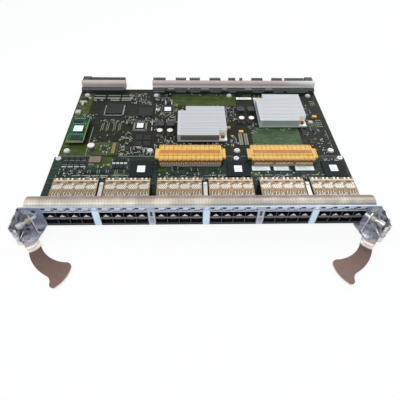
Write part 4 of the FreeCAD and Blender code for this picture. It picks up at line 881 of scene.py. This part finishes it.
# Undyed plastic: ivory.
ivory = material("ivory_moulding", "#c9c6b8", 0.5)
sheet_grain(ivory, "#a9a594", 3.0, 0.4, 0.2)
plates("edge_connectors", ivory,
       [(-203, -191, 262.5, 265.5), (-199, -195.5, 254.5, 262.5), (-204, -196, 230, 238),
        (180, 187, 203, 209), (-190, -186, 274, 277)], 0.0, 3.2)

# ---- Floor, light and camera ------------------------------------------------
# The card lies on a white floor in a white room, under a large lamp from the left
# in front and a smaller one from the right behind. Floor and room show as white to
# the eye and in metal, and light the card a little less than that.

floor_half, floor_gap = 3.0, 0.0003
sheet = bmesh.new()
bmesh.ops.create_grid(sheet, x_segments=1, y_segments=1, size=floor_half,
                      matrix=Matrix.Translation((0, 0, cad_box[0].z - floor_gap)))
mesh = bpy.data.meshes.new("floor")
sheet.to_mesh(mesh)
sheet.free()
floor = bpy.data.objects.new("floor", mesh)
bpy.context.scene.collection.objects.link(floor)
# Matt white board: it shows as white, and only the card's shadow tones it.
pale_floor = material("pale_floor", "#e9eaec", 0.9)
path = add(pale_floor, "LightPath", {})
mirrored = add(pale_floor, "Math", {"operation": "MAXIMUM", 0: (path, "Is Glossy Ray"),
                                    1: (path, "Is Transmission Ray")})
shown = add(pale_floor, "Math", {"operation": "MAXIMUM", 0: (path, "Is Camera Ray"), 1: (mirrored, "Value")})
share = add(pale_floor, "Math", {"operation": "MULTIPLY", 0: (shown, "Value"), 1: 0.88})
glow = add(pale_floor, "Emission", {"Color": linear("#ffffff"), "Strength": 1.0})
nodes = pale_floor.node_tree.nodes
add(pale_floor, "MixShader", {0: (share, "Value"), 1: (nodes["Principled BSDF"], "BSDF"),
                              2: (glow, "Emission")}, [("Shader", (nodes["Material Output"], "Surface"))])
mesh.materials.append(pale_floor)

studio = bpy.data.worlds.new("studio")
bpy.context.scene.world = studio
studio.use_nodes = True
nodes = studio.node_tree.nodes
room = nodes["Background"]
room.inputs["Color"].default_value = linear("#e6ebf2")
room.inputs["Strength"].default_value = 0.69
path = add(studio, "LightPath", {})
mirrored = add(studio, "Math", {"operation": "MAXIMUM", 0: (path, "Is Glossy Ray"),
                                1: (path, "Is Transmission Ray")})
shown = add(studio, "Math", {"operation": "MAXIMUM", 0: (path, "Is Camera Ray"), 1: (mirrored, "Value")})
white = add(studio, "Background", {"Color": linear("#ffffff"), "Strength": 1.0})
add(studio, "MixShader", {0: (shown, "Value"), 1: (room, "Background"), 2: (white, "Background")},
    [("Shader", (nodes["World Output"], "Surface"))])

for name, place, size, power in (("key", (-0.5, -0.5, 1.3), 0.9, 11.0), ("rim", (0.6, 0.7, 1.0), 0.7, 5.0)):
    lamp = bpy.data.lights.new(name, "AREA")
    lamp.size, lamp.energy = size, power
    holder = bpy.data.objects.new(name, lamp)
    holder.location = place
    holder.rotation_euler = (-Vector(place)).to_track_quat("-Z", "Y").to_euler()
    bpy.context.scene.collection.objects.link(holder)

# The camera looks down on the card from in front; its place is in metres.
station = (-0.01477, -0.41544, 0.34974)
pitch, yaw, roll = math.radians(48.469), math.radians(2.482), math.radians(1.556)
ahead = Vector((math.sin(yaw) * math.cos(pitch), math.cos(yaw) * math.cos(pitch), -math.sin(pitch)))
level = Vector((math.cos(yaw), -math.sin(yaw), 0))
over = level.cross(ahead)
right = level * math.cos(roll) + over * math.sin(roll)
up = over * math.cos(roll) - level * math.sin(roll)
lens = bpy.data.cameras.new("camera")
lens.lens, lens.sensor_width = 31.405, 36.0
lens.clip_start = 0.01
camera = bpy.data.objects.new("camera", lens)
camera.matrix_world = Matrix.Translation(station) @ Matrix(
    ((right.x, up.x, -ahead.x, 0), (right.y, up.y, -ahead.y, 0), (right.z, up.z, -ahead.z, 0), (0, 0, 0, 1)))
bpy.context.scene.collection.objects.link(camera)
bpy.context.scene.camera = camera
bpy.context.scene.view_settings.view_transform = "Standard"
